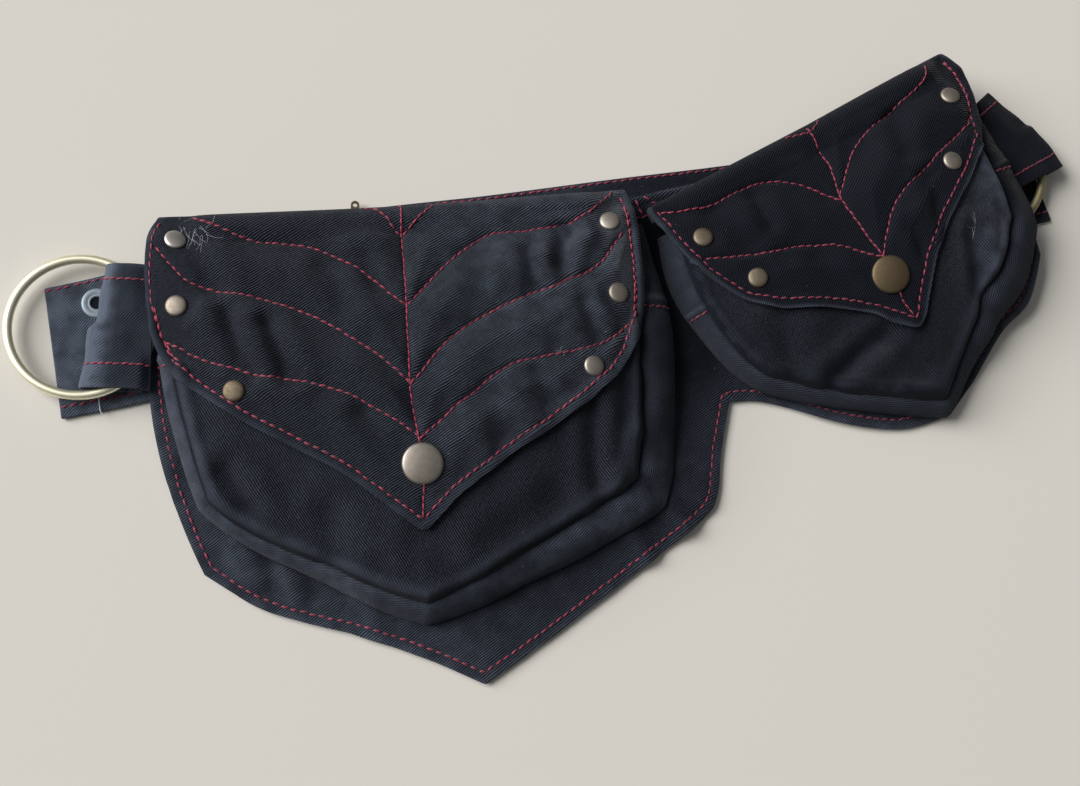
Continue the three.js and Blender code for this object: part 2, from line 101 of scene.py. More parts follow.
# Back panel: how far its two sides bow out, then rows of upper edge x and y and lower edge x and y
PANEL_BOW = (12.0, 6.0)
PANEL_CORNERS = (5, 11, 17)
PANEL_SECTIONS = (
    (-139.5, 55.5, -119.5, -69), (-118, 58.5, -99.5, -80.5), (-94, 61.5, -81, -86),
    (-74, 64, -63.5, -90), (-54, 66.5, -39, -98), (-36, 69, -18.5, -106.5),
    (-22, 70.5, 8.5, -87.5), (-4.5, 73, 41.5, -62.5), (10, 74.5, 64, -44.5),
    (18, 76, 70, -34.5), (28, 78.5, 72.5, -17), (40, 82, 76, 1.5),
    (54.5, 86.5, 86, 2.3), (70, 91, 100, 0), (88, 98, 120, -5),
    (106, 107.5, 140.5, -7), (120, 115.5, 154, -5), (132, 122, 167, -0.5),
    (141, 127, 178, 14.5), (150, 131, 189.5, 34), (160, 135.5, 201, 46.5), (170, 139, 206.8, 66),
)

# Pouches. Each has a frame of its own: across runs along the flap's fold from its middle, down runs away
# from it. Flap and front rows hold the upper edge's across, the lower edge's across and its down. Gusset
# rows hold how far it stands out at the panel and how far it bulges. Dents hold across, down, radius and
# depth, and creases hold two ends, a width and a depth. Seams are the sewn lines of the quilting, the middle
# one first. Doubled holds the side and the stretch of the hem that is sewn twice, and hems hold places round
# the gusset.
# Each pouch's flap, front and gusset are lightened or darkened from their left to their right as painted
# light and shade.
LARGE = SimpleNamespace(
    name="large", x=-54.5, y=69.5, turn=math.radians(7.2), fold=0.0, sag=1.5, roll=6.6, roll_end=0.62,
    mouth=13.0, seam_height=12.0, rise=9.5, half_width=89.0, flap_bow=(3.2, 2.0), front_bow=(4.0, 3.0),
    flap=(
        (-87, -94, 33), (-82.5, -92.5, 47.5), (-77, -86, 60), (-70, -78.5, 67.5), (-60, -65, 78.5),
        (-46, -49, 89), (-31, -33, 99.5), (-19, -20.5, 110), (-10, -11.5, 118.5), (-3, -4.5, 123),
        (4, 2.5, 118.5), (12, 11, 111.5), (31, 32.5, 98), (47, 49.5, 89), (62, 68.5, 77),
        (71, 77, 69), (77.5, 83, 60), (82.5, 87, 49), (87, 89, 36),
    ),
    front=(
        (-87, -78, 105), (-73, -70, 113), (-58, -56, 122.5), (-40, -38, 132), (-22, -20, 142.5),
        (-5, -5, 148.5), (12, 11, 143.5), (31, 29.5, 135), (48, 45.5, 128), (65, 62, 120), (85.5, 78, 112.5),
    ),
    front_corners=(5,),
    gusset=((-0.5, 2.4), (-0.5, 4.6), (2, 3.6), (3, 2.6), (7, 2.4), (13, 3), (15, 3.6), (15, 3.6), (9, 3)),
    rivets=((-82.5, 10), (-83.5, 35), (-66, 68.5), (79, 13.5), (77.5, 42.5), (64, 70)),
    rivet_tarnish=(0.05, 0.66, 0.93, 0.5, 0.6, 0.48),
    snap=(-3, 100.5),
    snap_tarnish=0.5,
    dents=(
        (-65, 42, 13, 1.4), (-42, 54, 14, 1.6), (62, 20, 14, 1.2), (18, 46, 13, 1.4), (68, 56, 12, 1.4),
        (-45, 108, 16, 1.6), (46, 106, 16, 1.6),
    ),
    creases=(
        ((63, 86), (61, 113), 4.5, 1.4), ((75, 80), (71, 104), 4, 1.0), ((-71, 96), (-64, 108), 5, 1.1),
        ((-36, 114), (-36, 130), 6, 1.1), ((-4, 126), (8, 140), 7, 1.0), ((20, 130), (46, 116), 6, 0.7),
        ((81, 100), (75, 114), 3.5, 1.3),
    ),
    seams=(
        ((0.3, 1.2), (-0.8, 13.7), (-2.4, 40.6), (-4.4, 71.5), (-3.5, 91.5), (-2.7, 100.4), (-4.6, 119.4)),
        ((-1.3, 13.4), (-8, 4.3), (-13.4, 2.7)),
        ((-2.5, 41.8), (-5.5, 39.6), (-18.4, 26.5), (-33, 17.3), (-52.5, 12.5), (-65.3, 7.1), (-75.4, 2.2)),
        (
            (-4.3, 71.8), (-6, 69.4), (-17, 58.2), (-35.5, 44), (-54.5, 35.6), (-73.5, 29), (-80.9, 24),
            (-88.9, 11.7),
        ),
        (
            (-3.6, 91.6), (-5.6, 88.8), (-21.2, 76.3), (-37.8, 68.7), (-56.9, 63.7), (-75.5, 55.6),
            (-88.3, 46.9),
        ),
        ((-0.8, 13.4), (6.3, 7.3), (12.8, 2.9)),
        ((-2.3, 42), (0.7, 39.6), (15.1, 26.4), (30.5, 16.5), (47, 15.3), (65.4, 11.6), (79, 3.4), (82, 1)),
        ((-4.3, 72.2), (-2.2, 69.8), (13.7, 54.8), (34.9, 44.3), (56.1, 37.6), (72.2, 30.3), (82.9, 17.9)),
        ((-3.5, 92), (-0.6, 89.9), (17.7, 76.3), (33.3, 67.3), (51, 64.5), (67.7, 61.6), (81, 54.3)),
    ),
    wrinkles=(
        ((-66, 40), (-60, 62), 4.2, 1.9), ((-53, 46), (-46, 65), 4.2, 1.9), ((-74, 14), (-69, 31), 5, 1.4),
        ((62, 16), (56, 30), 4.2, 1.9), ((45, 26), (46, 36), 4, 1.3), ((63, 47), (68, 60), 4, 1.5),
        ((-30, 26), (-24, 40), 5, 1.0), ((-22, 82), (-12, 100), 5, 1.2), ((22, 80), (28, 94), 5, 1.1),
        ((28, 22), (24, 36), 5, 1.0), ((-14, 22), (-12, 34), 4.5, 0.9), ((42, 72), (46, 84), 4.5, 1.1),
    ),
    doubled=((-1, 34, 56), (1, 8, 50)), left_margin=1.4, hems=(0.15, 0.888), flap_bias=27, front_bias=-62,
    flap_ribs=1.3,
    flap_painted_shading=(-0.3, 0.6), front_painted_shading=(-0.1, -0.45), gusset_painted_shading=(0.4, -0.3), pinch=(0.672, 3.0),
)
SMALL = SimpleNamespace(
    name="small", x=108.0, y=110.5, turn=math.radians(30.6), fold=-2.0, sag=0.0, roll=5.6, roll_end=0.55,
    mouth=11.0, seam_height=10.0, rise=8.0, half_width=75.0, flap_bow=(1.5, 2.8), front_bow=(5.0, 1.0),
    flap=(
        (-74.5, -71.3, 29), (-67, -64, 45.8), (-57, -55, 55), (-46, -45.5, 60.7), (-34, -34, 67),
        (-24, -23, 75), (-15, -15.5, 83), (-8, -9.5, 89), (-2, -3.5, 87), (3, 2.5, 79.8), (11, 10.5, 70),
        (21, 21.5, 60.7), (32, 33, 53.7), (44, 45, 46.8), (54, 54.6, 40.2), (61, 61.3, 32), (67, 66.3, 21),
    ),
    front=(
        (-69, -72, 67), (-62, -67, 76.5), (-52, -57, 86), (-41, -45, 95.5), (-29, -32, 104.5),
        (-8, -8.5, 119.3), (8, 7.5, 107), (18, 17, 99.5), (28, 27, 90.8), (41, 40, 84), (57, 54.3, 70.5),
    ),
    front_corners=(5,),
    gusset=((6, 2), (7, 2.6), (5, 2.6), (4.5, 2.4), (5.5, 2.6), (14, 4), (12.5, 4), (11, 3.6), (9, 3)),
    rivets=((-64, 18.6), (-54.6, 42.7), (56.5, 16), (38.3, 40)),
    rivet_tarnish=(0.86, 0.84, 0.6, 0.56),
    snap=(-8.4, 66.6),
    snap_tarnish=1.0,
    dents=((-40, 22, 13, 1.2), (26, 24, 13, 1.2), (-32, 80, 13, 1.6), (30, 68, 12, 1.4)),
    creases=(
        ((-46, 91), (-19, 85), 4.5, 1.7), ((-18, 91), (-13, 105), 5, 0.9), ((-52, 62), (-58, 80), 6, 0.9),
        ((33, 68), (24, 91), 4.5, 1.3), ((40, 60), (50, 72), 6, 0.8),
    ),
    seams=(
        ((-1.1, -0.3), (-2.4, 16.8), (-6.9, 30.8), (-7.5, 42.8), (-7.4, 58.1), (-8.4, 66.6), (-8.6, 85)),
        ((-11.3, -0.8), (-1.4, 1.4), (5.5, -0.8)),
        ((-6.9, 31.8), (-9, 30.2), (-19, 16.6), (-33.5, 9.2), (-54.6, 7.9), (-72, 1.2)),
        ((-7.4, 59.4), (-9.6, 57.4), (-19.8, 46.8), (-34.5, 39.5), (-52.8, 33.4), (-67.4, 25.8)),
        ((-6.6, 30.2), (-4.6, 28.1), (11, 15.8), (32.4, 9.3), (50.1, 4.9), (56.2, 0)),
        ((-7.3, 59.4), (-5, 56.8), (10, 42.8), (32.9, 35.5), (52.8, 30.4), (60.3, 25.8)),
    ),
    wrinkles=(
        ((-37, 15), (-39, 27), 4, 1.5), ((8, 56), (9, 66), 4, 1.3), ((31, 13), (24, 28), 5, 1.4),
        ((-55, 13), (-50, 29), 5, 1.2), ((-30, 48), (-24, 62), 5, 1.0), ((26, 42), (22, 54), 4.5, 1.0),
    ),
    doubled=((1, 1, 24),), left_margin=0.6, hems=(0.194, 0.776), flap_bias=33, front_bias=-80, flap_ribs=0.9,
    flap_painted_shading=(-2.8, -2.6), front_painted_shading=(-0.8, 0.9), gusset_painted_shading=(-0.1, -1.1), pinch=(0.587, 1.4),
)

# Ring loops: a strip folded round the ring's wire, by points of its side view, out from the ring's middle
# and up. Sewn lines run along the strip at these shares of its width, between two shares of its length.
LEFT_LOOP = SimpleNamespace(
    name="left_ring_loop", x=-169.2, y=19.2, turn=math.radians(180), half_width=23.2, flare=1.9, step=-2.6,
    lean=0.0, droop=2.6, bow=0.0, shear=0.0, tuck=1.0,
    profile=(
        (-27.6, 8.7), (-20, 9.2), (-12, 8.9), (-8, 7.6), (-6.8, 6.1), (-8, 4.6), (-12, 3.5), (-20, 3.4),
        (-25, 3.3),
    ),
    sewn=(0.19, 0.873), sewn_length=(0.0, 0.46), fade_and_painted_shade=(0.0, 4.4),
)
RIGHT_LOOP = SimpleNamespace(
    name="right_ring_loop", x=187.5, y=103.3, turn=math.radians(44.7), half_width=21.8, flare=0.0, step=1.5,
    lean=5.0, droop=0.0, bow=2.2, shear=0.32, tuck=0.0,
    profile=(
        (4.5, 12.2), (12, 11.4), (20, 9.8), (26, 7.8), (27.6, 5.9), (26, 3.9), (22, 2.7), (16, 2.6),
        (10, 2.6),
    ),
    # This loop is darkened all over as painted shade.
    sewn=(0.12, 0.86), sewn_length=(0.0, 0.4), fade_and_painted_shade=(-1.3, -1.3),
)
LEFT_RING = SimpleNamespace(name="left_ring", x=-167.2, y=18.9, z=5.7, tilt=math.radians(-2), tarnish=0.0)
RIGHT_RING = SimpleNamespace(name="right_ring", x=186.6, y=102.5, z=5.8, tilt=0.0, tarnish=0.82)

# What holds the panel up, and how far past it the panel drops
STRAP_REST = STRAP_THICK + CLEARANCE
RING_REST = RIGHT_RING.z + RING_WIRE + CLEARANCE
SUPPORT_MARGIN = 13.0
STRAP_DRAPE = 25.0
RING_DRAPE = 60.0

# Where each run of the flap ends, as a share of its length from the root
ROOT_END = 0.03
ROLL_END = 0.17

# Steps of the lines that the cloth is shaped by
STRAP_STEPS = 200
PANEL_STEPS = 900
OUTLINE_STEPS = 400
POUCH_STEPS = 300
SMOOTH_STEPS = 24
INSET_KEEPS = 0.97

# How far inside an edge its stitching runs
FLAP_MARGIN = 3.3
PANEL_MARGIN = 3.5
STRAP_MARGINS = (1.4, 4.0)

# Short sewn lines on the panel where the two flaps meet, by their ends in plan
CORNER_SEAMS = (((39.2, 80.4), (41.7, 74.6)), ((38, 72.3), (44.6, 75)), ((42.4, 81.9), (48.3, 79.6)))

# Soft folds of the panel: two ends, a width and a rise; and the strip between the pouches that painted shade
# darkens
PANEL_FOLDS = (
    ((-119, -44), (-116, -54), 4.0, 2.0), ((-107.5, -58), (-101, -70), 5.0, 3.2),
    ((-90.5, -67), (-87, -75), 4.5, 2.6), ((-62, -78), (-58, -86), 5.0, 1.8),
    ((36.5, -51), (43, -60), 4.0, 2.4), ((50, -40), (58, -49), 5.0, 2.8), ((55, -28), (63, -36), 5.0, 2.0),
)
PAINTED_SHADE_STRIP = ((44, 66), (60, 21))

# Stretch along the belt, in metres, over which painted shade darkens the thread towards the right
THREAD_PAINTED_SHADE = (0.02, 0.06)

# Unevenness of the cloth: rows of height, size across, squeeze of the second axis and seed
STRAP_WAVES = ((0.12, 16, 1, 3),)
PANEL_LIFT = ((0.8, 34, 1, 11),)
PANEL_PUCKER = ((0.28, 6.5, 1, 12),)
PANEL_CRUMPLE = ((0.3, 19, 1, 13),)
FRONT_GATHER = ((0.5, 7.5, 1, 1),)
FRONT_SLACK = ((0.9, 17, 0.6, 2), (0.4, 8, 0.6, 3))
FLAP_PUCKER = ((0.34, 5.5, 1, 4),)
FLAP_SLACK = ((0.6, 12, 0.45, 5), (0.3, 6.5, 0.6, 6))
GUSSET_FOLDS = ((1.0, 17, 14, 7), (0.4, 7, 8, 8))
LOOP_WRINKLES = ((0.55, 9, 1, 41), (0.25, 10, 2.5, 42))
LOOP_RIPPLE = ((0.8, 9, 0, 43),)

# Random hills: cells of their grid, and its turn as a cosine and a sine
HILL_CELLS = (61, 67)
HILL_TURN = (0.82, 0.57)

# Turned and sewn edges: rows of height, distance from the edge and width
STRAP_RIDGES = ((0.25, 2.6, 1.6),)
PANEL_RIDGES = ((0.32, 1.7, 1.1), (-0.34, PANEL_MARGIN, 0.9), (-0.3, 0, 0.9))
FRONT_RIDGES = ((0.9, 3, 2.0), (-3.0, 0, 1.3))
FLAP_RIDGES = ((0.3, 1.6, 1.0), (-0.9, 0, 1.1))
LOOP_TUCK = ((1, -4, 2.2), (-1, 0.5, 2.5))

# Rubbed and dark edges: rows of amount, distance from the edge and width, as shares for the gusset
STRAP_RUBBED = ((0.7, 0, 1.2),)
PANEL_RUBBED = ((0.75, 0, 1.3),)
# Rows under 0 darken the seam between front and gusset as painted shade.
FRONT_RUBBED_AND_SEAM_SHADE = ((0.25, 2.6, 1.4), (-1.4, 0, 1.0))
GUSSET_RUBBED_AND_SEAM_SHADE = ((0.2, 0.2, 0.14), (-1.4, 0, 0.08))
FLAP_RUBBED = ((0.3, 0, 1.5),)
SEAM_RUBBED = ((0.15, 1.8, 1.0),)
LOOP_RUBBED = ((0.5, 0, 1.4),)

# How each kind of cloth lies, in millimetres or as shares; pairs are the start and end of a smooth step
STRAP_END_RUN = 30
PANEL_LIFT_WIDTH = 18
PUCKER_WIDTH = 5
CREASE_RIDGE = SimpleNamespace(share=0.6, widths=1.6)
FRONT_LIE = SimpleNamespace(
    covered=(1, 12), hollow=1.7, gather_at=2, gather_width=8, slack=(1, 9), crease=1.35,
)
QUILT = SimpleNamespace(
    hem_share=0.8, width=7.5, sink=0.5, seam_width=1.3, hem_depth=0.7, hem_width=1.0, wrinkle=1.3,
    starts=(0, 7),
)
PRESSED = SimpleNamespace(rivet=6.5, snap=11, inner=0.6, outer=1.5, depth=0.5)
FLAP_REST = SimpleNamespace(gap=0.2, beside=(-0.5, 1.5), side_drop=3, mouth=(-5, 1), mouth_free=8, blend=0.5)
HEM_SIDE = (-0.9, -0.7)
HEM_DOWN = (30, 50)
DOUBLE_SIDE = 0.6
DOUBLE_GAP = 1.0
GUSSET_LIE = SimpleNamespace(
    roundness=2.4, slack_spread=9, slack_range=(0.15, 1.2), pinch_width=0.008, hem_rise=0.65,
    hem_fade=(0, 0.15), hem_place=0.011, hem_width=0.004,
)
LOOP_LIE = SimpleNamespace(fold_width=5, step=(-1.5, 1.5), droop_side=(9, 18), droop_run=(23.5, 27.6))

# Stitches: their shape, their chance changes, and gaps under 0 for lines whose stitches overlap
STITCH = SimpleNamespace(
    sides=6, bow=0.5, sink=0.28, wander=0.12, lengths=(0.92, 1.06), slant=0.26, slant_spread=0.13,
    drift=0.08, widths=(0.9, 1.12),
)
OVERLAPPED_GAP = -1.4
LOOP_GAP = -1.2

# How each kind of cloth is made: steps of its grid, bias of its ribs in degrees, how clear they are, points
# to a sewn line, the stitches' seed, and the places between which its tone changes
STRAP_MAKE = SimpleNamespace(grid=(240, 36), bias=40, ribs=0.5, points=800, seed=21)
# Strap tone along its run: lighter at its left end, and darker at its right end as painted shade.
STRAP_TONE_AND_PAINTED_SHADE = ((40, 90, 200, 240), (1.8, 0.0, 0.0, -0.7))
HOLE_SHADE = SimpleNamespace(width=1.8, dark=6)
PANEL_MAKE = SimpleNamespace(grid=(310, 125), bias=38, ribs=0.85, thick=PANEL_THICK - 0.1, seed=22)
# Panel tone: lighter on the left as painted light, and darker along the strip between the pouches as painted
# shade.
PANEL_PAINTED_SHADING = SimpleNamespace(left=0.45, left_run=(-60, 20), dark=1.9, dark_width=15)
FRONT_MAKE = SimpleNamespace(grid=(165, 125), ribs=0.1, more_ribs=0.8, ribs_run=(1.5, 7), places=(-0.1, 0.7))
GUSSET_MAKE = SimpleNamespace(grid=(330, 22), bias=28, ribs=0.4, points=60, seed=23, places=(0.66, 0.74))
GUSSET_SEWN = (0.12, 0.9)
HEM_RUBBED = 0.8
FLAP_MAKE = SimpleNamespace(grid=(190, 150), ribs=0.35, ribs_run=(1, 4), seed=24, places=(-0.4, 0.4))
FLAP_PLAIN_EDGE = 2.6
LOOP_MAKE = SimpleNamespace(grid=(50, 80), bias=40, ribs=0.35, points=200, seed=25, places=(0.2, 0.42))

# Metal: steps round each piece, how deep the caps sit in the flap, and how near vertices are joined
RIVET_STEPS = 28
SNAP_STEPS = 48
CAP_SINK = 0.1
RIM_POINTS = 12
RING_STEPS = (14, 120)
EYELET_STEPS = 40
EYELET_TARNISH = 0.3
MERGE = 1e-6

# Lint: the make of a fibre, then rows of pouch, face, spot, size and count of fibres
FIBRE = SimpleNamespace(
    step=0.25, rings=24, sides=5, ahead=0.02, taper=0.75, taper_power=6, radius=0.038, lift=0.15, seed=51,
    turns=0.25, points=9, step_share=0.26, spread=0.3,
)
LOOSE_RADIUS = 0.22
LINT_SPOTS = (
    (LARGE, "flap", (-79, 3.5), 3.0, 4), (LARGE, "flap", (-75.5, 5), 3.6, 7),
    (LARGE, "flap", (-72, 8.5), 3.4, 6), (LARGE, "flap", (52.3, 63.6), 1.0, 4),
    (SMALL, "front", (35, 65.9), 2.2, 5),
)

# Thread that hangs from the left loop over the strap
LOOSE_THREAD = (
    (-160, -3, 4.4), (-159.8, -5, 3), (-159.2, -9, 2.7), (-158.6, -11.5, 2.7), (-157.2, -12.8, 2.7),
)

# Stage: rows of a light's name, place, size and power, then the room and the table, in metres
LIGHTS = (("Window light", (-9.7, 2.7, 6.7), 8.4, 2540.0), ("Ceiling", (0.1, 0.1, 1.7), 2.2, 3.4))
ROOM_COLOUR = (0.96, 0.98, 1.0, 1.0)
ROOM_STRENGTH = 0.07
TABLE_SIZE = 3.0
TABLE_DROP = 0.0002

# Camera, in the millimetres of the tables above
CAMERA_TARGET = (0.0, 0.0, 10.0)
CAMERA_DISTANCE = 560.0
CAMERA_LEAN = (math.radians(10), math.radians(13))
CAMERA_LENS = 50.0
CAMERA_SENSOR = 36.0

ring_low, ring_high = (np.array(corner, dtype=float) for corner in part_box("left_ring"))
ring_middle = (ring_low + ring_high) / 2 / MM
SHIFT = np.array([ring_middle[0] - LEFT_RING.x, ring_middle[1] - LEFT_RING.y, 0.0])


class BeltSizes(bpy.types.PropertyGroup):
    """Sizes of the cloth's finish."""

    stitch_length: bpy.props.FloatProperty(
        name="Stitch length", description="Length of one stitch", default=3.1 * MM, unit="LENGTH")
    stitch_gap: bpy.props.FloatProperty(
        name="Stitch gap", description="Gap between two stitches", default=0.32 * MM, unit="LENGTH")
    thread_width: bpy.props.FloatProperty(
        name="Thread width", description="Thickness of the topstitching", default=0.78 * MM, unit="LENGTH")
    quilt_groove: bpy.props.FloatProperty(
        name="Quilting groove", description="Depth of a sewn line", default=1.1 * MM, unit="LENGTH")
    quilt_puff: bpy.props.FloatProperty(
        name="Quilting puff", description="Rise of the cloth between lines", default=3.0 * MM, unit="LENGTH")
    twill_pitch: bpy.props.FloatProperty(
        name="Twill pitch", description="Distance between two ribs", default=0.8 * MM, unit="LENGTH")
    edge_bevel: bpy.props.FloatProperty(
        name="Edge rounding", description="Rounding of a turned edge", default=0.65 * MM, unit="LENGTH")


class BeltColours(bpy.types.PropertyGroup):
    """Colours of the belt and its floor."""

    cloth: bpy.props.FloatVectorProperty(
        name="Cloth", description="Blue-black twill", size=4, default=(0.005, 0.0062, 0.011, 1),
        subtype="COLOR")
    faded: bpy.props.FloatVectorProperty(
        name="Faded cloth", description="Worn edges", size=4, default=(0.088, 0.105, 0.14, 1),
        subtype="COLOR")
    thread: bpy.props.FloatVectorProperty(
        name="Thread", description="Crimson stitching", size=4, default=(0.31, 0.023, 0.06, 1),
        subtype="COLOR")
    lint: bpy.props.FloatVectorProperty(
        name="Lint", description="Pale fibres", size=4, default=(0.5, 0.52, 0.55, 1), subtype="COLOR")
    bright_cap: bpy.props.FloatVectorProperty(
        name="Bright cap", description="Polished caps", size=4, default=(0.6, 0.56, 0.52, 1),
        subtype="COLOR")
    dull_cap: bpy.props.FloatVectorProperty(
        name="Dull cap", description="Antique caps", size=4, default=(0.15, 0.112, 0.068, 1),
        subtype="COLOR")
    bright_ring: bpy.props.FloatVectorProperty(
        name="Bright ring", description="Pale brass", size=4, default=(0.97, 0.94, 0.72, 1), subtype="COLOR")
    dull_ring: bpy.props.FloatVectorProperty(
        name="Dull ring", description="Tarnished brass", size=4, default=(0.32, 0.27, 0.13, 1),
        subtype="COLOR")
    steel: bpy.props.FloatVectorProperty(
        name="Steel", description="Eyelet", size=4, default=(0.29, 0.34, 0.39, 1), subtype="COLOR")
    floor: bpy.props.FloatVectorProperty(
        name="Floor", description="Pale table", size=4, default=(0.66, 0.63, 0.575, 1), subtype="COLOR")


def belt_sizes():
    """The size settings."""
    return bpy.context.scene.belt_sizes


def belt_colours():
    """The colour settings."""
    return bpy.context.scene.belt_colours


# Curves and distances

def ease(value, low, high):
    """A smooth step from 0 at low to 1 at high."""
    share = np.clip((value - low) / (high - low), 0.0, 1.0)
    return share * share * (3.0 - 2.0 * share)


def bell(distance, width):
    """1 at no distance, fading to 0 over about twice the width."""
    return np.exp(-(distance / width) ** 2)


def section_at(rows, place, corners=()):
    """Smooth in-between rows of a table; a corner row keeps its point sharp."""
    rows = np.asarray(rows, dtype=float)
    last = len(rows) - 1
    i = np.minimum(np.floor(place).astype(int), last - 1)
    t = (place - i)[:, None]
    sharp = np.zeros(last + 1, dtype=bool)
    sharp[[0, last, *corners]] = True
    a, b = rows[i], rows[i + 1]
    before = np.where(sharp[i][:, None], a, rows[np.maximum(i - 1, 0)])
    after = np.where(sharp[i + 1][:, None], b, rows[np.minimum(i + 2, last)])
    leave, arrive = (b - before) / 2, (after - a) / 2
    start = a * (1 + 2 * t) * (1 - t) ** 2 + leave * t * (1 - t) ** 2
    return start + b * t * t * (3 - 2 * t) + arrive * t * t * (t - 1)


def length_along(points):
    """Distance run from the first point to each point of a line."""
    steps = np.linalg.norm(np.diff(points, axis=0), axis=1)
    return np.concatenate([[0.0], np.cumsum(steps)])


def evenly(points, step=0.5):
    """The same line with points an even step apart."""
    points = np.asarray(points, dtype=float)
    run = length_along(points)
    places = np.linspace(0.0, run[-1], max(2, int(run[-1] / step)))
    return np.stack([np.interp(places, run, column) for column in points.T], axis=1)


def smooth_line(points):
    """A smooth even line through a few points."""
    return evenly(section_at(points, np.linspace(0, len(points) - 1, SMOOTH_STEPS * len(points))))


def inset(line, margin):
    """A line moved right by a margin, or left where that is negative, without loops at its corners."""
    along = np.gradient(line, axis=0)
    along /= np.linalg.norm(along, axis=1)[:, None]
    margin = np.broadcast_to(margin, len(line))
    moved = line + margin[:, None] * np.stack([along[:, 1], -along[:, 0]], axis=1)
    from_edge = distance_to(tree_of([line]), moved[:, 0], moved[:, 1])
    return evenly(moved[from_edge > INSET_KEEPS * np.abs(margin)])


def tree_of(lines):
    """A search tree of all the points of some lines in plan."""
    points = np.concatenate(lines)
    tree = KDTree(len(points))
    for i, (x, y) in enumerate(points[:, :2]):
        tree.insert((x, y, 0.0), i)
    tree.balance()
    return tree


def distance_to(tree, x, y):
    """Distance in plan from each place to the nearest point in a tree."""
    return np.array([tree.find((a, b, 0.0))[2] for a, b in zip(x, y)])


def distance_to_run(start, end, x, y):
    """Distance from each place to a straight run between two ends."""
    start, run = np.array(start, dtype=float), np.subtract(end, start)
    offset = np.stack([x, y], axis=1) - start
    share = np.clip(offset @ run / (run @ run), 0.0, 1.0)
    return np.linalg.norm(offset - share[:, None] * run, axis=1)


def hills(x, y, size, seed):
    """Smooth random hills from about -1 to 1, each about one size across."""
    heights = np.random.default_rng(seed).uniform(-1.0, 1.0, HILL_CELLS)
    cos, sin = HILL_TURN
    turned = np.array([[cos, sin], [-sin, cos]]) @ np.stack([x, y]) / size
    cell = np.floor(turned).astype(int)
    s, t = ease(turned - cell, 0.0, 1.0)
    i, j = cell[0] % HILL_CELLS[0], cell[1] % HILL_CELLS[1]
    i2, j2 = (i + 1) % HILL_CELLS[0], (j + 1) % HILL_CELLS[1]
    near = heights[i, j] * (1 - s) + heights[i2, j] * s
    far = heights[i, j2] * (1 - s) + heights[i2, j2] * s
    return near * (1 - t) + far * t


def waves(rows, x, y, seed=0):
    """Smooth random hills of a table, added up."""
    return sum(height * hills(x, squeeze * y, size, seed + own) for height, size, squeeze, own in rows)


def ridges(rows, distance):
    """Rounded ridges of a table, added up, at some distance from an edge."""
    return sum(height * bell(distance - place, width) for height, place, width in rows)


# Shapes of the cloth, in millimetres

strap_curve = evenly(section_at(STRAP_LINE, np.linspace(0, len(STRAP_LINE) - 1, STRAP_STEPS)), 1.0)
STRAP_TREE = tree_of([strap_curve])


def drape(x, y):
    """Height of the panel's underside: it drops to the floor a little way past what holds it up."""
    from_strap = distance_to(STRAP_TREE, x, y) - STRAP_WIDTH / 2
    from_ring = np.hypot(x - RIGHT_RING.x, y - RIGHT_RING.y) - RING_RADIUS
    on_strap = STRAP_REST * (1 - ease(from_strap, SUPPORT_MARGIN, SUPPORT_MARGIN + STRAP_DRAPE))
    on_ring = RING_REST * (1 - ease(from_ring, SUPPORT_MARGIN, SUPPORT_MARGIN + RING_DRAPE))
    return np.maximum(on_strap, on_ring)


def bow_at(bow, u, count, v, lead=1.0):
    """How far the end sections of a ruled piece bow out at a place along them, sooner with a low lead."""
    v = np.clip(v, 0.0, 1.0) ** lead
    left = np.maximum(0.0, 1 - u * (count - 1))
    right = np.maximum(0.0, 1 - (1 - u) * (count - 1))
    return (bow[1] * right - bow[0] * left) * 4 * v * (1 - v)


def strap_surface(u, v):
    """The strap's middle surface and its cloth coordinates."""
    run = length_along(strap_curve)
    places = u * run[-1]
    middle = np.stack([np.interp(places, run, column) for column in strap_curve.T], axis=1)
    tangent = np.gradient(strap_curve, axis=0)
    tangent /= np.linalg.norm(tangent, axis=1)[:, None]
    along = np.stack([np.interp(places, run, column) for column in tangent.T], axis=1)
    reach = STRAP_WIDTH * (0.5 - v)
    slant = (STRAP_END[0] * (1 - v) + STRAP_END[1] * v) * (1 - ease(places, 0, STRAP_END_RUN))
    x = middle[:, 0] - along[:, 1] * reach + slant
    y = middle[:, 1] + along[:, 0] * reach
    edge = np.minimum(v, 1 - v) * STRAP_WIDTH
    z = STRAP_THICK / 2 + STRAP_WAVES[0][0] + waves(STRAP_WAVES, x, y) + ridges(STRAP_RIDGES, edge)
    return np.stack([x, y, z], axis=1), np.stack([places, reach], axis=1)


def panel_plan(u, v):
    """A place on the panel by shares of its width and height."""
    count = len(PANEL_SECTIONS)
    row = section_at(PANEL_SECTIONS, u * (count - 1), PANEL_CORNERS)
    x = row[:, 0] * (1 - v) + row[:, 2] * v + bow_at(PANEL_BOW, u, count, v)
    y = row[:, 1] * (1 - v) + row[:, 3] * v
    return np.stack([x, y], axis=1)


def outline_of(plan, steps=OUTLINE_STEPS):
    """Left side, lower edge and right side of a ruled piece, as one even line."""
    share = np.linspace(0, 1, steps)
    none, full = np.zeros(steps), np.ones(steps)
    return evenly(np.concatenate([plan(none, share), plan(share, full)[1:], plan(full, share[::-1])[1:]]))


panel_edge = outline_of(panel_plan, PANEL_STEPS)
panel_top = evenly(panel_plan(np.linspace(0, 1, PANEL_STEPS), np.zeros(PANEL_STEPS)))
PANEL_TREE = tree_of([panel_edge, panel_top])


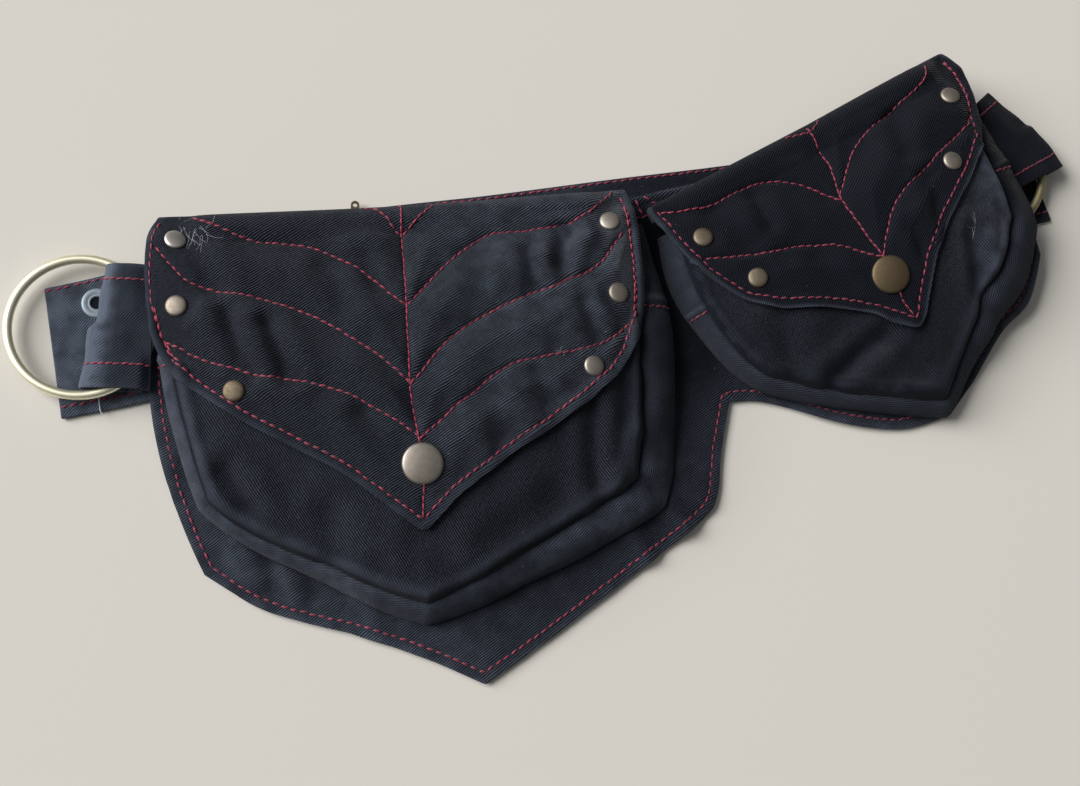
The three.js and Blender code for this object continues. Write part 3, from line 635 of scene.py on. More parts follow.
def panel_height(x, y):
    """Height of the panel's middle surface, with its turned and stitched edge."""
    edge = distance_to(PANEL_TREE, x, y)
    lift = np.maximum(0, waves(PANEL_LIFT, x, y)) * bell(edge, PANEL_LIFT_WIDTH)
    pucker = waves(PANEL_PUCKER, x, y) * bell(edge - PANEL_MARGIN, PUCKER_WIDTH)
    crumple = waves(PANEL_CRUMPLE, x, y)
    height = drape(x, y) + PANEL_THICK / 2 + lift + pucker + ridges(PANEL_RIDGES, edge) + crumple
    for start, end, width, rise in PANEL_FOLDS:
        height = height + rise * bell(distance_to_run(start, end, x, y), width)
    return np.maximum(height, PANEL_THICK / 2)


def panel_surface(x, y):
    """The panel's middle surface at places in plan."""
    return np.stack([x, y, panel_height(x, y)], axis=1)


def on_pouch(pouch, across, down, height):
    """A place in a pouch's frame, at a height over the panel."""
    x = pouch.x + across * math.cos(pouch.turn) + down * math.sin(pouch.turn)
    y = pouch.y + across * math.sin(pouch.turn) - down * math.cos(pouch.turn)
    return np.stack([x, y, drape(x, y) + PANEL_THICK + height], axis=1)


def front_plan(pouch, u, v):
    """Across and down of a place on the pouch's front."""
    count = len(pouch.front)
    row = section_at(pouch.front, u * (count - 1), pouch.front_corners)
    across = row[:, 0] * (1 - v) + row[:, 1] * v + bow_at(pouch.front_bow, u, count, v)
    return np.stack([across, pouch.mouth * (1 - v) + row[:, 2] * v], axis=1)


def fold_at(pouch, across):
    """Where the flap's fold lies, sagging in its middle."""
    return pouch.fold + pouch.sag * bell(across, SAG_WIDTH)


def flap_plan(pouch, u, along):
    """Across and down of a place on the flap, by its share of the way from the fold to the lower edge."""
    count = len(pouch.flap)
    row = section_at(pouch.flap, u * (count - 1))
    bow = bow_at(pouch.flap_bow, u, count, along, FLAP_CORNER)
    across = row[:, 0] * (1 - along) + row[:, 1] * along + bow
    return np.stack([across, fold_at(pouch, row[:, 0]) * (1 - along) + row[:, 2] * along], axis=1)


def hem_margin(pouch, across, down):
    """How far inside the flap's edge its hem is sewn: less on the left side than below."""
    left = (1 - ease(across / pouch.half_width, *HEM_SIDE)) * (1 - ease(down, *HEM_DOWN))
    return FLAP_MARGIN - pouch.left_margin * left


def prepare(pouch):
    """Works out the lines that a pouch's cloth is shaped by."""
    share = np.linspace(0, 1, POUCH_STEPS)
    none, full = np.zeros_like(share), np.ones_like(share)
    pouch.front_low = front_plan(pouch, share, full)
    pouch.front_left = front_plan(pouch, none, share)
    pouch.front_right = front_plan(pouch, full, share)
    pouch.flap_low = flap_plan(pouch, share, full)
    pouch.front_outline = outline_of(lambda u, v: front_plan(pouch, u, v))
    pouch.flap_outline = outline_of(lambda u, v: flap_plan(pouch, u, v))
    margin = hem_margin(pouch, *pouch.flap_outline.T)
    pouch.hem_line = inset(pouch.flap_outline, margin)
    pouch.seam_lines = [smooth_line(seam) for seam in pouch.seams]
    twice = inset(pouch.flap_outline, margin + DOUBLE_GAP)
    across, down = twice.T
    pouch.double_lines = [
        twice[(side * across > DOUBLE_SIDE * pouch.half_width) & (down > low) & (down < high)]
        for side, low, high in pouch.doubled]
    pouch.seam_tree = tree_of(pouch.seam_lines)
    pouch.flap_tree = tree_of([pouch.flap_outline])
    pouch.front_tree = tree_of([pouch.front_outline])
    pouch.seed = 100 * len(pouch.name)


def front_height(pouch, across, down):
    """Height of the pouch's crowned and dented front over the panel."""
    low = np.interp(across, pouch.front_low[:, 0], pouch.front_low[:, 1])
    side = np.maximum(0.0, 1 - np.abs(across / pouch.half_width) ** CROWN_SIDE)
    along = np.clip((down - pouch.mouth) / (low - pouch.mouth), 0.0, 1.0)
    height = pouch.seam_height + pouch.rise * side * np.sin(math.pi * along ** CROWN_ALONG)
    for at_across, at_down, radius, depth in pouch.dents:
        height = height - depth * bell(np.hypot(across - at_across, down - at_down), radius)
    return height


def crease_depth(creases, across, down):
    """Depth of soft creases, each with a low ridge on both sides."""
    depth = np.zeros_like(across)
    for start, end, width, sink in creases:
        away = distance_to_run(start, end, across, down)
        beside = bell(away - CREASE_RIDGE.widths * width, width)
        depth += sink * (bell(away, width) - CREASE_RIDGE.share * beside)
    return depth


def front_top(pouch, across, down):
    """Height of the front over the panel, with its seam, creases and the hollow that the flap lies in."""
    edge = distance_to(pouch.front_tree, across, down)
    flap_edge = np.interp(across, pouch.flap_low[:, 0], pouch.flap_low[:, 1])
    covered = ease(flap_edge - down, *FRONT_LIE.covered)
    gather = bell(edge - FRONT_LIE.gather_at, FRONT_LIE.gather_width)
    detail = ridges(FRONT_RIDGES, edge) + gather * waves(FRONT_GATHER, across, down, pouch.seed)
    detail += waves(FRONT_SLACK, across, down, pouch.seed) * ease(edge, *FRONT_LIE.slack)
    detail -= FRONT_LIE.crease * crease_depth(pouch.creases, across, down)
    return front_height(pouch, across, down) + detail - FRONT_LIE.hollow * covered


def front_surface(pouch, across, down):
    """The front's middle surface."""
    return on_pouch(pouch, across, down, front_top(pouch, across, down))


def roll_at(pouch, across):
    """Radius and top of the roll over the fold, and the run in which the flap settles, less at its ends."""
    from_end = np.minimum(across - pouch.flap[0][0], pouch.flap[-1][0] - across)
    full = ease(from_end, 0, ROLL_TAPER)
    radius = pouch.roll * (pouch.roll_end + (1 - pouch.roll_end) * full)
    top = ROOT_HEIGHT + 2 * radius
    radius = ROLL_SHUT_RADIUS + (radius - ROLL_SHUT_RADIUS) * ease(from_end, 0, ROLL_SHUTS)
    return radius, top, ROLL_END_SETTLES + (ROLL_SETTLES - ROLL_END_SETTLES) * full


def beside_front(pouch, across, down):
    """How far a place lies outside the front's left or right side, negative inside."""
    left = np.interp(down, pouch.front_left[:, 1], pouch.front_left[:, 0])
    right = np.interp(down, pouch.front_right[:, 1], pouch.front_right[:, 0])
    return np.maximum(left - across, across - right)


def flap_height(pouch, across, down):
    """Height of the flap's upper run over the panel, quilted along its seams."""
    from_fold = down - fold_at(pouch, across)
    radius, top, settles = roll_at(pouch, across)
    extra = top - pouch.seam_height - FLAP_LIFT
    settled = ease(from_fold, radius, radius + settles)
    curl = np.clip(1 - from_fold / radius, 0.0, 1.0)
    plain = front_height(pouch, across, down) + FLAP_LIFT + extra * (1 - settled)
    plain = plain - radius * (1 - np.sqrt(1 - curl * curl))
    sizes = belt_sizes()
    groove, puff = sizes.quilt_groove / MM, sizes.quilt_puff / MM
    seam = distance_to(pouch.seam_tree, across, down)
    edge = distance_to(pouch.flap_tree, across, down)
    hem = edge - hem_margin(pouch, across, down)
    from_line = np.minimum(seam, QUILT.hem_share * np.abs(hem))
    quilt = puff * (1 - bell(from_line, QUILT.width)) - QUILT.sink * puff
    sewn = groove * (bell(seam, QUILT.seam_width) + QUILT.hem_depth * bell(hem, QUILT.hem_width))
    pucker = waves(FLAP_PUCKER, across, down, pouch.seed) * bell(np.minimum(seam, np.abs(hem)), PUCKER_WIDTH)
    detail = quilt - sewn + ridges(FLAP_RIDGES, edge) + pucker + waves(FLAP_SLACK, across, down, pouch.seed)
    detail -= QUILT.wrinkle * crease_depth(pouch.wrinkles, across, down)
    caps = [(*spot, PRESSED.rivet) for spot in pouch.rivets] + [(*pouch.snap, PRESSED.snap)]
    for at_across, at_down, reach in caps:
        away = np.hypot(across - at_across, down - at_down) / reach
        clear = ease(away, PRESSED.inner, PRESSED.outer)
        detail = detail * clear - PRESSED.depth * (1 - clear)
    height = plain + detail * ease(from_fold - radius, *QUILT.starts)
    lowest = front_top(pouch, across, down) + (FRONT_THICK + FLAP_THICK) / 2 + FLAP_REST.gap
    lowest -= FLAP_REST.side_drop * ease(beside_front(pouch, across, down), *FLAP_REST.beside)
    over = height - lowest + FLAP_REST.mouth_free * (1 - ease(down - pouch.mouth, *FLAP_REST.mouth))
    return height + 0.5 * (np.hypot(over, FLAP_REST.blend) - over)


def flap_surface(pouch, across, down):
    """The flap's upper run as a surface."""
    return on_pouch(pouch, across, down, flap_height(pouch, across, down))


def flap_sheet(pouch, u, v):
    """The whole flap: its root on the panel, the roll over the fold and the upper run."""
    row = section_at(pouch.flap, u * (len(pouch.flap) - 1))
    length = np.hypot(row[:, 1] - row[:, 0], row[:, 2] - fold_at(pouch, row[:, 0]))
    angle = math.pi * np.clip((v - ROOT_END) / (ROLL_END - ROOT_END), 0.0, 1.0)
    tail = ROOT_TAIL * np.maximum(0.0, 1 - v / ROOT_END)
    radius, top, _ = roll_at(pouch, row[:, 0])
    upper = (length - radius) * np.maximum(0.0, (v - ROLL_END) / (1 - ROLL_END))
    from_fold = radius * (1 - np.sin(angle)) + tail + upper
    across, down = flap_plan(pouch, u, from_fold / length).T
    rolled = top - radius * (1 + np.cos(angle))
    height = np.where(v < ROLL_END, rolled, flap_height(pouch, across, down))
    flat = np.stack([across, tail - radius * angle - upper], axis=1)
    return on_pouch(pouch, across, down, height), flat


def seam_plan(pouch, place):
    """The line round the front that the gusset follows: left side, bottom and right side."""
    part = np.clip(place, 0, 1) * 3
    u = np.clip(part - 1, 0, 1)
    v = np.minimum(np.minimum(part, 1), 3 - part)
    return front_plan(pouch, u, np.clip(v, 0, 1))


def hem_ridge(pouch, u):
    """1 on the folded edges above the gusset's two hem stitches."""
    place, width = GUSSET_LIE.hem_place, GUSSET_LIE.hem_width
    return bell(u - pouch.hems[0] + place, width) + bell(u - pouch.hems[1] - place, width)


def gusset_sheet(pouch, u, v):
    """The gusset's middle surface from the panel up to the front's seam, with its folds."""
    step = 0.02
    seam = seam_plan(pouch, u)
    run = seam_plan(pouch, np.minimum(u + step, 1)) - seam_plan(pouch, np.maximum(u - step, 0))
    run /= np.linalg.norm(run, axis=1)[:, None]
    outward = np.stack([-run[:, 1], run[:, 0]], axis=1)
    spread, bulge = section_at(pouch.gusset, u * (len(pouch.gusset) - 1)).T
    head = front_height(pouch, seam[:, 0], seam[:, 1]) - GUSSET_HEAD
    slope = np.hypot(head - GUSSET_FOOT, spread + SEAM_INSET)
    belly = bulge * (1 - np.abs(2 * v - 1) ** GUSSET_LIE.roundness)
    round_run = u * length_along(pouch.front_outline)[-1]
    slack = 4 * v * (1 - v) * np.clip(spread / GUSSET_LIE.slack_spread, *GUSSET_LIE.slack_range)
    pinch_at, pinch_depth = pouch.pinch
    fold = waves(GUSSET_FOLDS, round_run, v, pouch.seed)
    fold = fold - pinch_depth * bell(u - pinch_at, GUSSET_LIE.pinch_width)
    inside = ease(v, *GUSSET_LIE.hem_fade) * ease(1 - v, *GUSSET_LIE.hem_fade)
    stand = belly + fold * slack + GUSSET_LIE.hem_rise * hem_ridge(pouch, u) * inside
    reach = spread * (1 - v) - SEAM_INSET * v + stand * (head - GUSSET_FOOT) / slope
    plan = seam + outward * reach[:, None]
    height = GUSSET_FOOT * (1 - v) + head * v + stand * (spread + SEAM_INSET) / slope
    arc = slope + 8 * bulge ** 2 / (3 * slope)
    flat = np.stack([round_run, v * arc], axis=1)
    points = on_pouch(pouch, plan[:, 0], plan[:, 1], height)
    ground = panel_height(points[:, 0], points[:, 1]) + PANEL_THICK / 2
    points[:, 2] += (1 - v) * (ground - (points[:, 2] - height))
    return points, flat


def loop_sheet(loop, u, v):
    """A ring loop's middle surface, with its soft wrinkles."""
    profile = np.array(loop.profile)
    row = section_at(profile, v * (len(profile) - 1))
    side = loop.half_width * (1 - 2 * u)
    start, fold = profile[0, 0], profile[:, 0].max()
    along = np.clip((row[:, 0] - start) / (fold - start), 0.0, 1.0)
    share = side / loop.half_width
    upper = v < 0.5
    lean = loop.lean * (1 - along) * upper
    out = row[:, 0] + share * (loop.flare * along + lean) - loop.bow * share ** 2 * along
    run = np.interp(v, np.linspace(0, 1, len(profile)), length_along(profile))
    at_fold = bell(row[:, 0] - fold, LOOP_LIE.fold_width)
    stepped = loop.step * (ease(-side, *LOOP_LIE.step) - 0.5)
    out = out + (waves(LOOP_RIPPLE, side, side) + stepped) * at_fold
    drooped = loop.droop * ease(side, *LOOP_LIE.droop_side) * ease(-row[:, 0], *LOOP_LIE.droop_run) * upper
    tucked = loop.tuck * along * ridges(LOOP_TUCK, side) * upper
    up = row[:, 1] + (waves(LOOP_WRINKLES, side, run) + tucked) * (1 - at_fold) - drooped
    slanted = side + loop.shear * (fold - row[:, 0]) * u
    cos, sin = math.cos(loop.turn), math.sin(loop.turn)
    points = np.stack([loop.x + out * cos - slanted * sin, loop.y + out * sin + slanted * cos, up], axis=1)
    return points, np.stack([side, run], axis=1)


# Meshes

def to_frame(points):
    """Millimetres of the tables as metres of the frame."""
    return (points + SHIFT) * MM


def mesh_of(name, shape):
    """Turns a finished shape into a mesh."""
    mesh = bpy.data.meshes.new(name)
    shape.to_mesh(mesh)
    shape.free()
    return mesh


def add_piece(name, mesh, material, nodes=()):
    """Adds a finished mesh as a piece of the belt."""
    piece = bpy.data.objects.new(name, mesh)
    bpy.context.scene.collection.objects.link(piece)
    mesh.materials.append(material)
    mesh.shade_smooth()
    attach(piece, "root")
    if nodes:
        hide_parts(*nodes)
    return piece


def keep_value(mesh, name, values):
    """Keeps a value for each vertex, for the materials to read."""
    layer = mesh.attributes.new(name, "FLOAT", "POINT")
    layer.data.foreach_set("value", np.asarray(values, dtype=np.float32))


def cloth_piece(node, steps, surface, thick, wear_and_painted_shading, bias):
    """A sheet of cloth from a grid laid on surface(u, v), which gives points and cloth coordinates.

    The wear function gives the cloth's rubbing with painted light and shade added, and how clear its ribs
    are.
    The ribs rise at the bias, in degrees from the cloth's first axis.
    """
    shape = bmesh.new()
    bmesh.ops.create_grid(shape, x_segments=steps[0], y_segments=steps[1], size=0.5)
    mesh = mesh_of(node, shape)
    count = len(mesh.vertices)
    corner = np.empty(count * 3)
    mesh.vertices.foreach_get("co", corner)
    corner = corner.reshape(-1, 3)
    u, v = np.clip(corner[:, 0] + 0.5, 0, 1), np.clip(0.5 - corner[:, 1], 0, 1)
    points, flat = surface(u, v)
    mesh.vertices.foreach_set("co", to_frame(points).ravel())
    order = np.empty(len(mesh.loops), dtype=np.int32)
    mesh.loops.foreach_get("vertex_index", order)
    layer = mesh.uv_layers.new(name="cloth")
    cos, sin = math.cos(math.radians(bias)), math.sin(math.radians(bias))
    weave = flat @ np.array([[cos, -sin], [sin, cos]])
    layer.data.foreach_set("uv", (weave[order] * MM).astype(np.float32).ravel())
    # One value carries the cloth's rubbing together with painted light and shade, and lightens or darkens
    # its colour.
    rubbed, ribs = wear_and_painted_shading(u, v, flat, points)
    keep_value(mesh, "rubbed", rubbed)
    keep_value(mesh, "ribs", np.broadcast_to(ribs, count))
    mesh.update()
    piece = add_piece(node + "_cloth", mesh, material("Twill", twill_material), [node])
    wall = piece.modifiers.new("Thickness", "SOLIDIFY")
    wall.thickness = thick * MM
    wall.offset = 0.0
    turned = piece.modifiers.new("Turned edge", "BEVEL")
    turned.width = belt_sizes().edge_bevel
    turned.segments = 3
    turned.limit_method = "ANGLE"
    turned.angle_limit = math.radians(60)
    return piece


def upward(one, other):
    """Normals that point up, square to two directions."""
    normal = np.cross(one, other)
    return normal * np.sign(normal[:, 2:]) / np.linalg.norm(normal, axis=1)[:, None]


def on_cloth(surface, line, thick):
    """Points on the upper face of a cloth along a line in plan, and the normals there."""
    step = 0.7
    a, d = line.T
    right = surface(a + step, d) - surface(a - step, d)
    down = surface(a, d + step) - surface(a, d - step)
    normal = upward(down, right)
    return surface(a, d) + normal * thick / 2, normal


def along_sheet(surface, u, v, thick):
    """Points on a sheet's outer face along shares of its width and length, and the normals there."""
    step = 0.01
    wide = surface(np.minimum(u + step, 1), v)[0] - surface(np.maximum(u - step, 0), v)[0]
    long = surface(u, np.minimum(v + step, 1))[0] - surface(u, np.maximum(v - step, 0))[0]
    normal = upward(long, wide)
    return surface(u, v)[0] + normal * thick / 2, normal


def sew(name, lines, seed, gap_shares=1.0):
    """Topstitching along lines of points and normals: one small bowed grain of thread for each stitch.

    The gap shares widen the gap between stitches, for all lines or for each; stitches overlap below 0.
    """
    sizes = belt_sizes()
    length, width = sizes.stitch_length / MM, sizes.thread_width / MM
    chance = np.random.default_rng(seed)
    grain = bmesh.new()
    bmesh.ops.create_uvsphere(grain, u_segments=STITCH.sides, v_segments=STITCH.sides, radius=0.5)
    bmesh.ops.rotate(grain, verts=grain.verts, matrix=Matrix.Rotation(math.pi / 2, 3, "Y"))
    shape = np.array([vert.co for vert in grain.verts])
    faces = [[vert.index for vert in face.verts] for face in grain.faces]
    grain.free()
    bowed = shape[:, 2] + STITCH.bow * (1 - 4 * shape[:, 0] ** 2) - STITCH.sink
    points, shades = [], []
    for (line, normals), share in zip(lines, np.broadcast_to(gap_shares, len(lines))):
        gap = share * sizes.stitch_gap / MM
        run = length_along(line)
        count = max(1, round((run[-1] + gap) / (length + gap)))
        pitch = (run[-1] + gap) / count
        starts = pitch * np.arange(count) + chance.normal(0, STITCH.wander, count)
        ends = starts + (pitch - gap) * chance.uniform(*STITCH.lengths, count)
        tip, tail, middle = (
            np.stack([np.interp(place, run, column) for column in line.T], axis=1)
            for place in (starts, ends, (starts + ends) / 2))
        normal = np.stack([np.interp((starts + ends) / 2, run, column) for column in normals.T], axis=1)
        along = tail - tip
        side = np.cross(normal, along)
        side /= np.linalg.norm(side, axis=1)[:, None]
        along = along + side * chance.normal(STITCH.slant, STITCH.slant_spread, (count, 1))
        middle = middle + side * chance.normal(0, STITCH.drift, (count, 1))
        thick = width * chance.uniform(*STITCH.widths, (count, 1, 1))
        stitch = middle[:, None] + shape[None, :, :1] * along[:, None]
        around = shape[None, :, 1:2] * side[:, None] + bowed[None, :, None] * normal[:, None]
        stitch = stitch + thick * around
        points.append(stitch.reshape(-1, 3))
        shades.append(np.repeat(chance.uniform(0, 1, count), len(shape)))
    points = np.concatenate(points)
    firsts = range(0, len(points), len(shape))
    mesh = bpy.data.meshes.new(name)
    mesh.from_pydata(to_frame(points), [], [[first + i for i in face] for first in firsts for face in faces])
    keep_value(mesh, "shade", np.concatenate(shades))
    mesh.update()
    return add_piece(name, mesh, material("Thread", thread_material))


def declare(piece):
    """Reads the cloth coordinates of a cloth piece; nothing more is done with them."""
    cut = np.empty(2 * len(piece.data.loops))
    piece.data.uv_layers["cloth"].data.foreach_get("uv", cut)


def close(shape):
    """Joins the vertices of a shape that meet, and turns its faces outwards."""
    bmesh.ops.remove_doubles(shape, verts=shape.verts, dist=MERGE)
    bmesh.ops.recalc_face_normals(shape, faces=shape.faces)


def add_fibre(shape, line, radius):
    """Adds one thin tube of thread to a shape, along a line and tapered at both ends."""
    line = evenly(line, FIBRE.step)
    run = np.linspace(0, 1, len(line))

    def point(place):
        return np.array([np.interp(place, run, column) for column in line.T])

    tube = bmesh.ops.create_grid(shape, x_segments=FIBRE.rings, y_segments=FIBRE.sides, size=0.5)["verts"]
    for vert in tube:
        place, turn = vert.co.x + 0.5, 2 * math.pi * (vert.co.y + 0.5)
        along = point(place + FIBRE.ahead) - point(place - FIBRE.ahead)
        side = np.array([-along[1], along[0], 0.0]) / np.linalg.norm(along[:2])
        thin = radius * (1 - FIBRE.taper * abs(2 * place - 1) ** FIBRE.taper_power)
        around = math.cos(turn) * side + math.sin(turn) * np.array([0.0, 0.0, 1.0])
        vert.co = to_frame(point(place) + thin * around)


def spin(shape, steps):
    """Spins all of a flat shape once round the upright axis."""
    outline = [*shape.verts, *shape.edges]
    bmesh.ops.spin(
        shape, geom=outline, cent=(0, 0, 0), axis=(0, 0, 1), angle=2 * math.pi, steps=steps, use_merge=True)
    close(shape)


def lathe(profile, steps):
    """A solid spun from a profile of radius and height."""
    shape = bmesh.new()
    corners = [shape.verts.new((radius * MM, 0, height * MM)) for radius, height in profile]
    for pair in zip(corners, corners[1:]):
        shape.edges.new(pair)
    spin(shape, steps)
    return shape


def finish_metal(name, shape, place, finish, tarnish, node):
    """Sets a metal shape in its place and adds it as a piece."""
    bmesh.ops.transform(shape, matrix=place, verts=shape.verts)
    mesh = mesh_of(name, shape)
    keep_value(mesh, "tarnish", np.full(len(mesh.vertices), tarnish))
    return add_piece(name, mesh, finish, [node])


# Materials. Scales of noise are in turns to the metre, ranges are spread over 0 to 1, and each bump holds
# its strength and its height in metres.

WEAVE = SimpleNamespace(
    mean_rib=0.33, wander_scale=300.0, wander=0.0005, float_turns=1.1 * math.pi, float_slip=0.37,
    float_rise=0.15, slub_scale=700.0, slub_range=(0.3, 0.7), slub_rise=0.7, rib_range=(0.1, 1.5),
    bump=(0.9, 0.00028), crumple_scale=130.0, crumple=(0.35, 0.0012),
)
FADING = SimpleNamespace(
    broad_scale=28.0, broad_range=(0.35, 0.68), broad=0.06, fine_scale=160.0, fine_range=(0.3, 0.72),
    least_fine=0.25, rubbed=0.4, rib=0.38, fine_rib=0.3,
)
SPECKS = SimpleNamespace(
    scale=260.0, range=(0.02, 0.09), patch_scale=120.0, patch_range=(0.56, 0.7), amount=0.35,
)
TARNISH = SimpleNamespace(
    stain_scale=420.0, stain_range=(0.3, 0.7), stain=0.14, scuff_scale=2600.0, scuff_range=(0.35, 0.75),
    scuff=0.08, least_rough=0.44, tarnish_rough=0.16, scuff_rough=0.08, bump=(0.12, 0.0001),
)
# The dull share is how far painted shade darkens the thread towards the right.
THREAD = SimpleNamespace(fibre_scale=2400.0, dark=0.55, shade=0.6, fibres=0.6, dull=0.5, bump=(0.5, 0.0002))
STEEL = SimpleNamespace(dark=0.6, metallic=0.45)


def feed(tree, sockets, inputs):
    """Links or sets the inputs of a node."""
    for key, value in inputs.items():
        if isinstance(value, bpy.types.NodeSocket):
            tree.links.new(value, sockets[key])
        else:
            sockets[key].default_value = value


def add_node(tree, kind, inputs=None, **settings):
    """Adds a shader node with its settings, and feeds its inputs."""
    made = tree.nodes.new("ShaderNode" + kind)
    for key, value in settings.items():
        setattr(made, key, value)
    feed(tree, made.inputs, inputs or {})
    return made


def math_node(tree, operation, first, second=0.0):
    """The result of a sum on two values."""
    return add_node(tree, "Math", {0: first, 1: second}, operation=operation).outputs[0]


def plus(tree, first, second):
    """Two values added."""
    return math_node(tree, "ADD", first, second)


def minus(tree, first, second):
    """The second value taken from the first."""
    return math_node(tree, "SUBTRACT", first, second)


def times(tree, first, second):
    """Two values multiplied."""
    return math_node(tree, "MULTIPLY", first, second)


def mix_node(tree, share, first, second):
    """A mix of two colours."""
    made = add_node(tree, "Mix", data_type="RGBA")
    sockets = {socket.name: socket for socket in made.inputs if socket.enabled}
    feed(tree, sockets, {"Factor": share, "A": first, "B": second})
    return next(socket for socket in made.outputs if socket.enabled)


def ranged(tree, value, low, high):
    """A value spread from 0 at low to 1 at high."""
    return add_node(tree, "MapRange", {"Value": value, "From Min": low, "From Max": high}).outputs[0]


def noise(tree, vector, scale, detail=2.0):
    """A noise value on coordinates in metres."""
    return add_node(tree, "TexNoise", {"Vector": vector, "Scale": scale, "Detail": detail}).outputs[0]


def attribute(tree, name):
    """A value kept for each vertex of the piece."""
    return add_node(tree, "Attribute", attribute_name=name).outputs["Fac"]


def object_place(tree):
    """The piece's own coordinates."""
    return add_node(tree, "TexCoord").outputs["Object"]


def bump(tree, amount, height, **normal):
    """A normal raised by a height, on top of another normal where one is given."""
    strength, distance = amount
    inputs = {"Strength": strength, "Distance": distance, "Height": height, **normal}
    return add_node(tree, "Bump", inputs).outputs[0]


def node_group(name, inputs, outputs, build):
    """A shader node group, built once, with sockets by label and kind."""
    if name in bpy.data.node_groups:
        return bpy.data.node_groups[name]
    tree = bpy.data.node_groups.new(name, "ShaderNodeTree")
    for way, sockets in (("INPUT", inputs), ("OUTPUT", outputs)):
        for label, kind in sockets.items():
            tree.interface.new_socket(label, in_out=way, socket_type="NodeSocket" + kind)
    arrive = tree.nodes.new("NodeGroupInput").outputs
    leave = tree.nodes.new("NodeGroupOutput").inputs
    feed(tree, leave, build(tree, arrive))
    return tree


def place_group(tree, group, inputs):
    """Places a node group in a material."""
    return add_node(tree, "Group", inputs, node_tree=group).outputs


def build_weave(tree, arrive):
    """Ribs of a twill along the cloth's first axis, broken into floats and a little uneven."""
    cloth, pitch, clear = arrive["Cloth"], arrive["Pitch"], arrive["Clear"]
    split = add_node(tree, "SeparateXYZ", {0: cloth}).outputs
    wander = times(tree, noise(tree, cloth, WEAVE.wander_scale), WEAVE.wander)
    rows = math_node(tree, "DIVIDE", plus(tree, split["Y"], wander), pitch)
    turns = times(tree, rows, 2 * math.pi)
    ribs = math_node(tree, "SINE", turns)
    floats = times(tree, math_node(tree, "DIVIDE", split["X"], pitch), WEAVE.float_turns)
    floats = math_node(tree, "SINE", plus(tree, floats, times(tree, turns, WEAVE.float_slip)))
    slub = ranged(tree, noise(tree, cloth, WEAVE.slub_scale, detail=3.0), *WEAVE.slub_range)
    height = plus(tree, ribs, times(tree, floats, WEAVE.float_rise))
    height = plus(tree, height, times(tree, slub, WEAVE.slub_rise))
    rib = minus(tree, ranged(tree, height, *WEAVE.rib_range), WEAVE.mean_rib)
    rib = plus(tree, times(tree, rib, clear), WEAVE.mean_rib)
    return {"Height": times(tree, height, clear), "Rib": rib}


def build_fading(tree, arrive):
    """Cloth colour with rubbing on its edges, painted light and shade, and the soft unevenness of washing.
    """
    place = arrive["Place"]
    broad = ranged(tree, noise(tree, place, FADING.broad_scale), *FADING.broad_range)
    fine = ranged(tree, noise(tree, place, FADING.fine_scale, detail=4.0), *FADING.fine_range)
    rubbed = times(tree, arrive["Rubbed"], plus(tree, fine, FADING.least_fine))
    amount = plus(tree, times(tree, broad, FADING.broad), times(tree, rubbed, FADING.rubbed))
    ribbed = times(tree, arrive["Rib"], plus(tree, times(tree, fine, FADING.fine_rib), FADING.rib))
    amount = plus(tree, amount, ribbed)
    return {"Colour": mix_node(tree, amount, arrive["Cloth"], arrive["Faded"])}


def build_lint(tree, arrive):
    """Sparse pale specks that cling to the cloth."""
    cells = add_node(tree, "TexVoronoi", {"Vector": arrive["Place"], "Scale": SPECKS.scale})
    specks = cells.outputs["Distance"]
    specks = minus(tree, 1.0, ranged(tree, specks, *SPECKS.range))
    sparse = ranged(tree, noise(tree, arrive["Place"], SPECKS.patch_scale), *SPECKS.patch_range)
    return {"Mask": times(tree, specks, times(tree, sparse, arrive["Amount"]))}


def build_tarnish(tree, arrive):
    """Worn metal between a bright and a dull colour, with fine scuffs."""
    place = arrive["Place"]
    stain = ranged(tree, noise(tree, place, TARNISH.stain_scale, detail=4.0), *TARNISH.stain_range)
    scuff = ranged(tree, noise(tree, place, TARNISH.scuff_scale, detail=3.0), *TARNISH.scuff_range)
    stain = times(tree, minus(tree, stain, 0.5), TARNISH.stain)
    share = plus(tree, arrive["Tarnish"], stain)
    share = ranged(tree, plus(tree, share, times(tree, scuff, TARNISH.scuff)), 0.0, 1.0)
    rough = plus(tree, times(tree, share, TARNISH.tarnish_rough), times(tree, scuff, TARNISH.scuff_rough))
    return {"Colour": mix_node(tree, share, arrive["Bright"], arrive["Dull"]),
            "Roughness": plus(tree, rough, TARNISH.least_rough), "Scuff": scuff}


def material(name, build):
    """A material by name, built the first time that it is asked for."""
    made = bpy.data.materials.get(name)
    if made is None:
        made = bpy.data.materials.new(name)
        made.use_nodes = True
        build(made.node_tree, made.node_tree.nodes["Principled BSDF"])
    return made


def darker(colour, share):
    """A colour with its parts cut to a share."""
    return tuple(share * part for part in colour[:3]) + (1.0,)


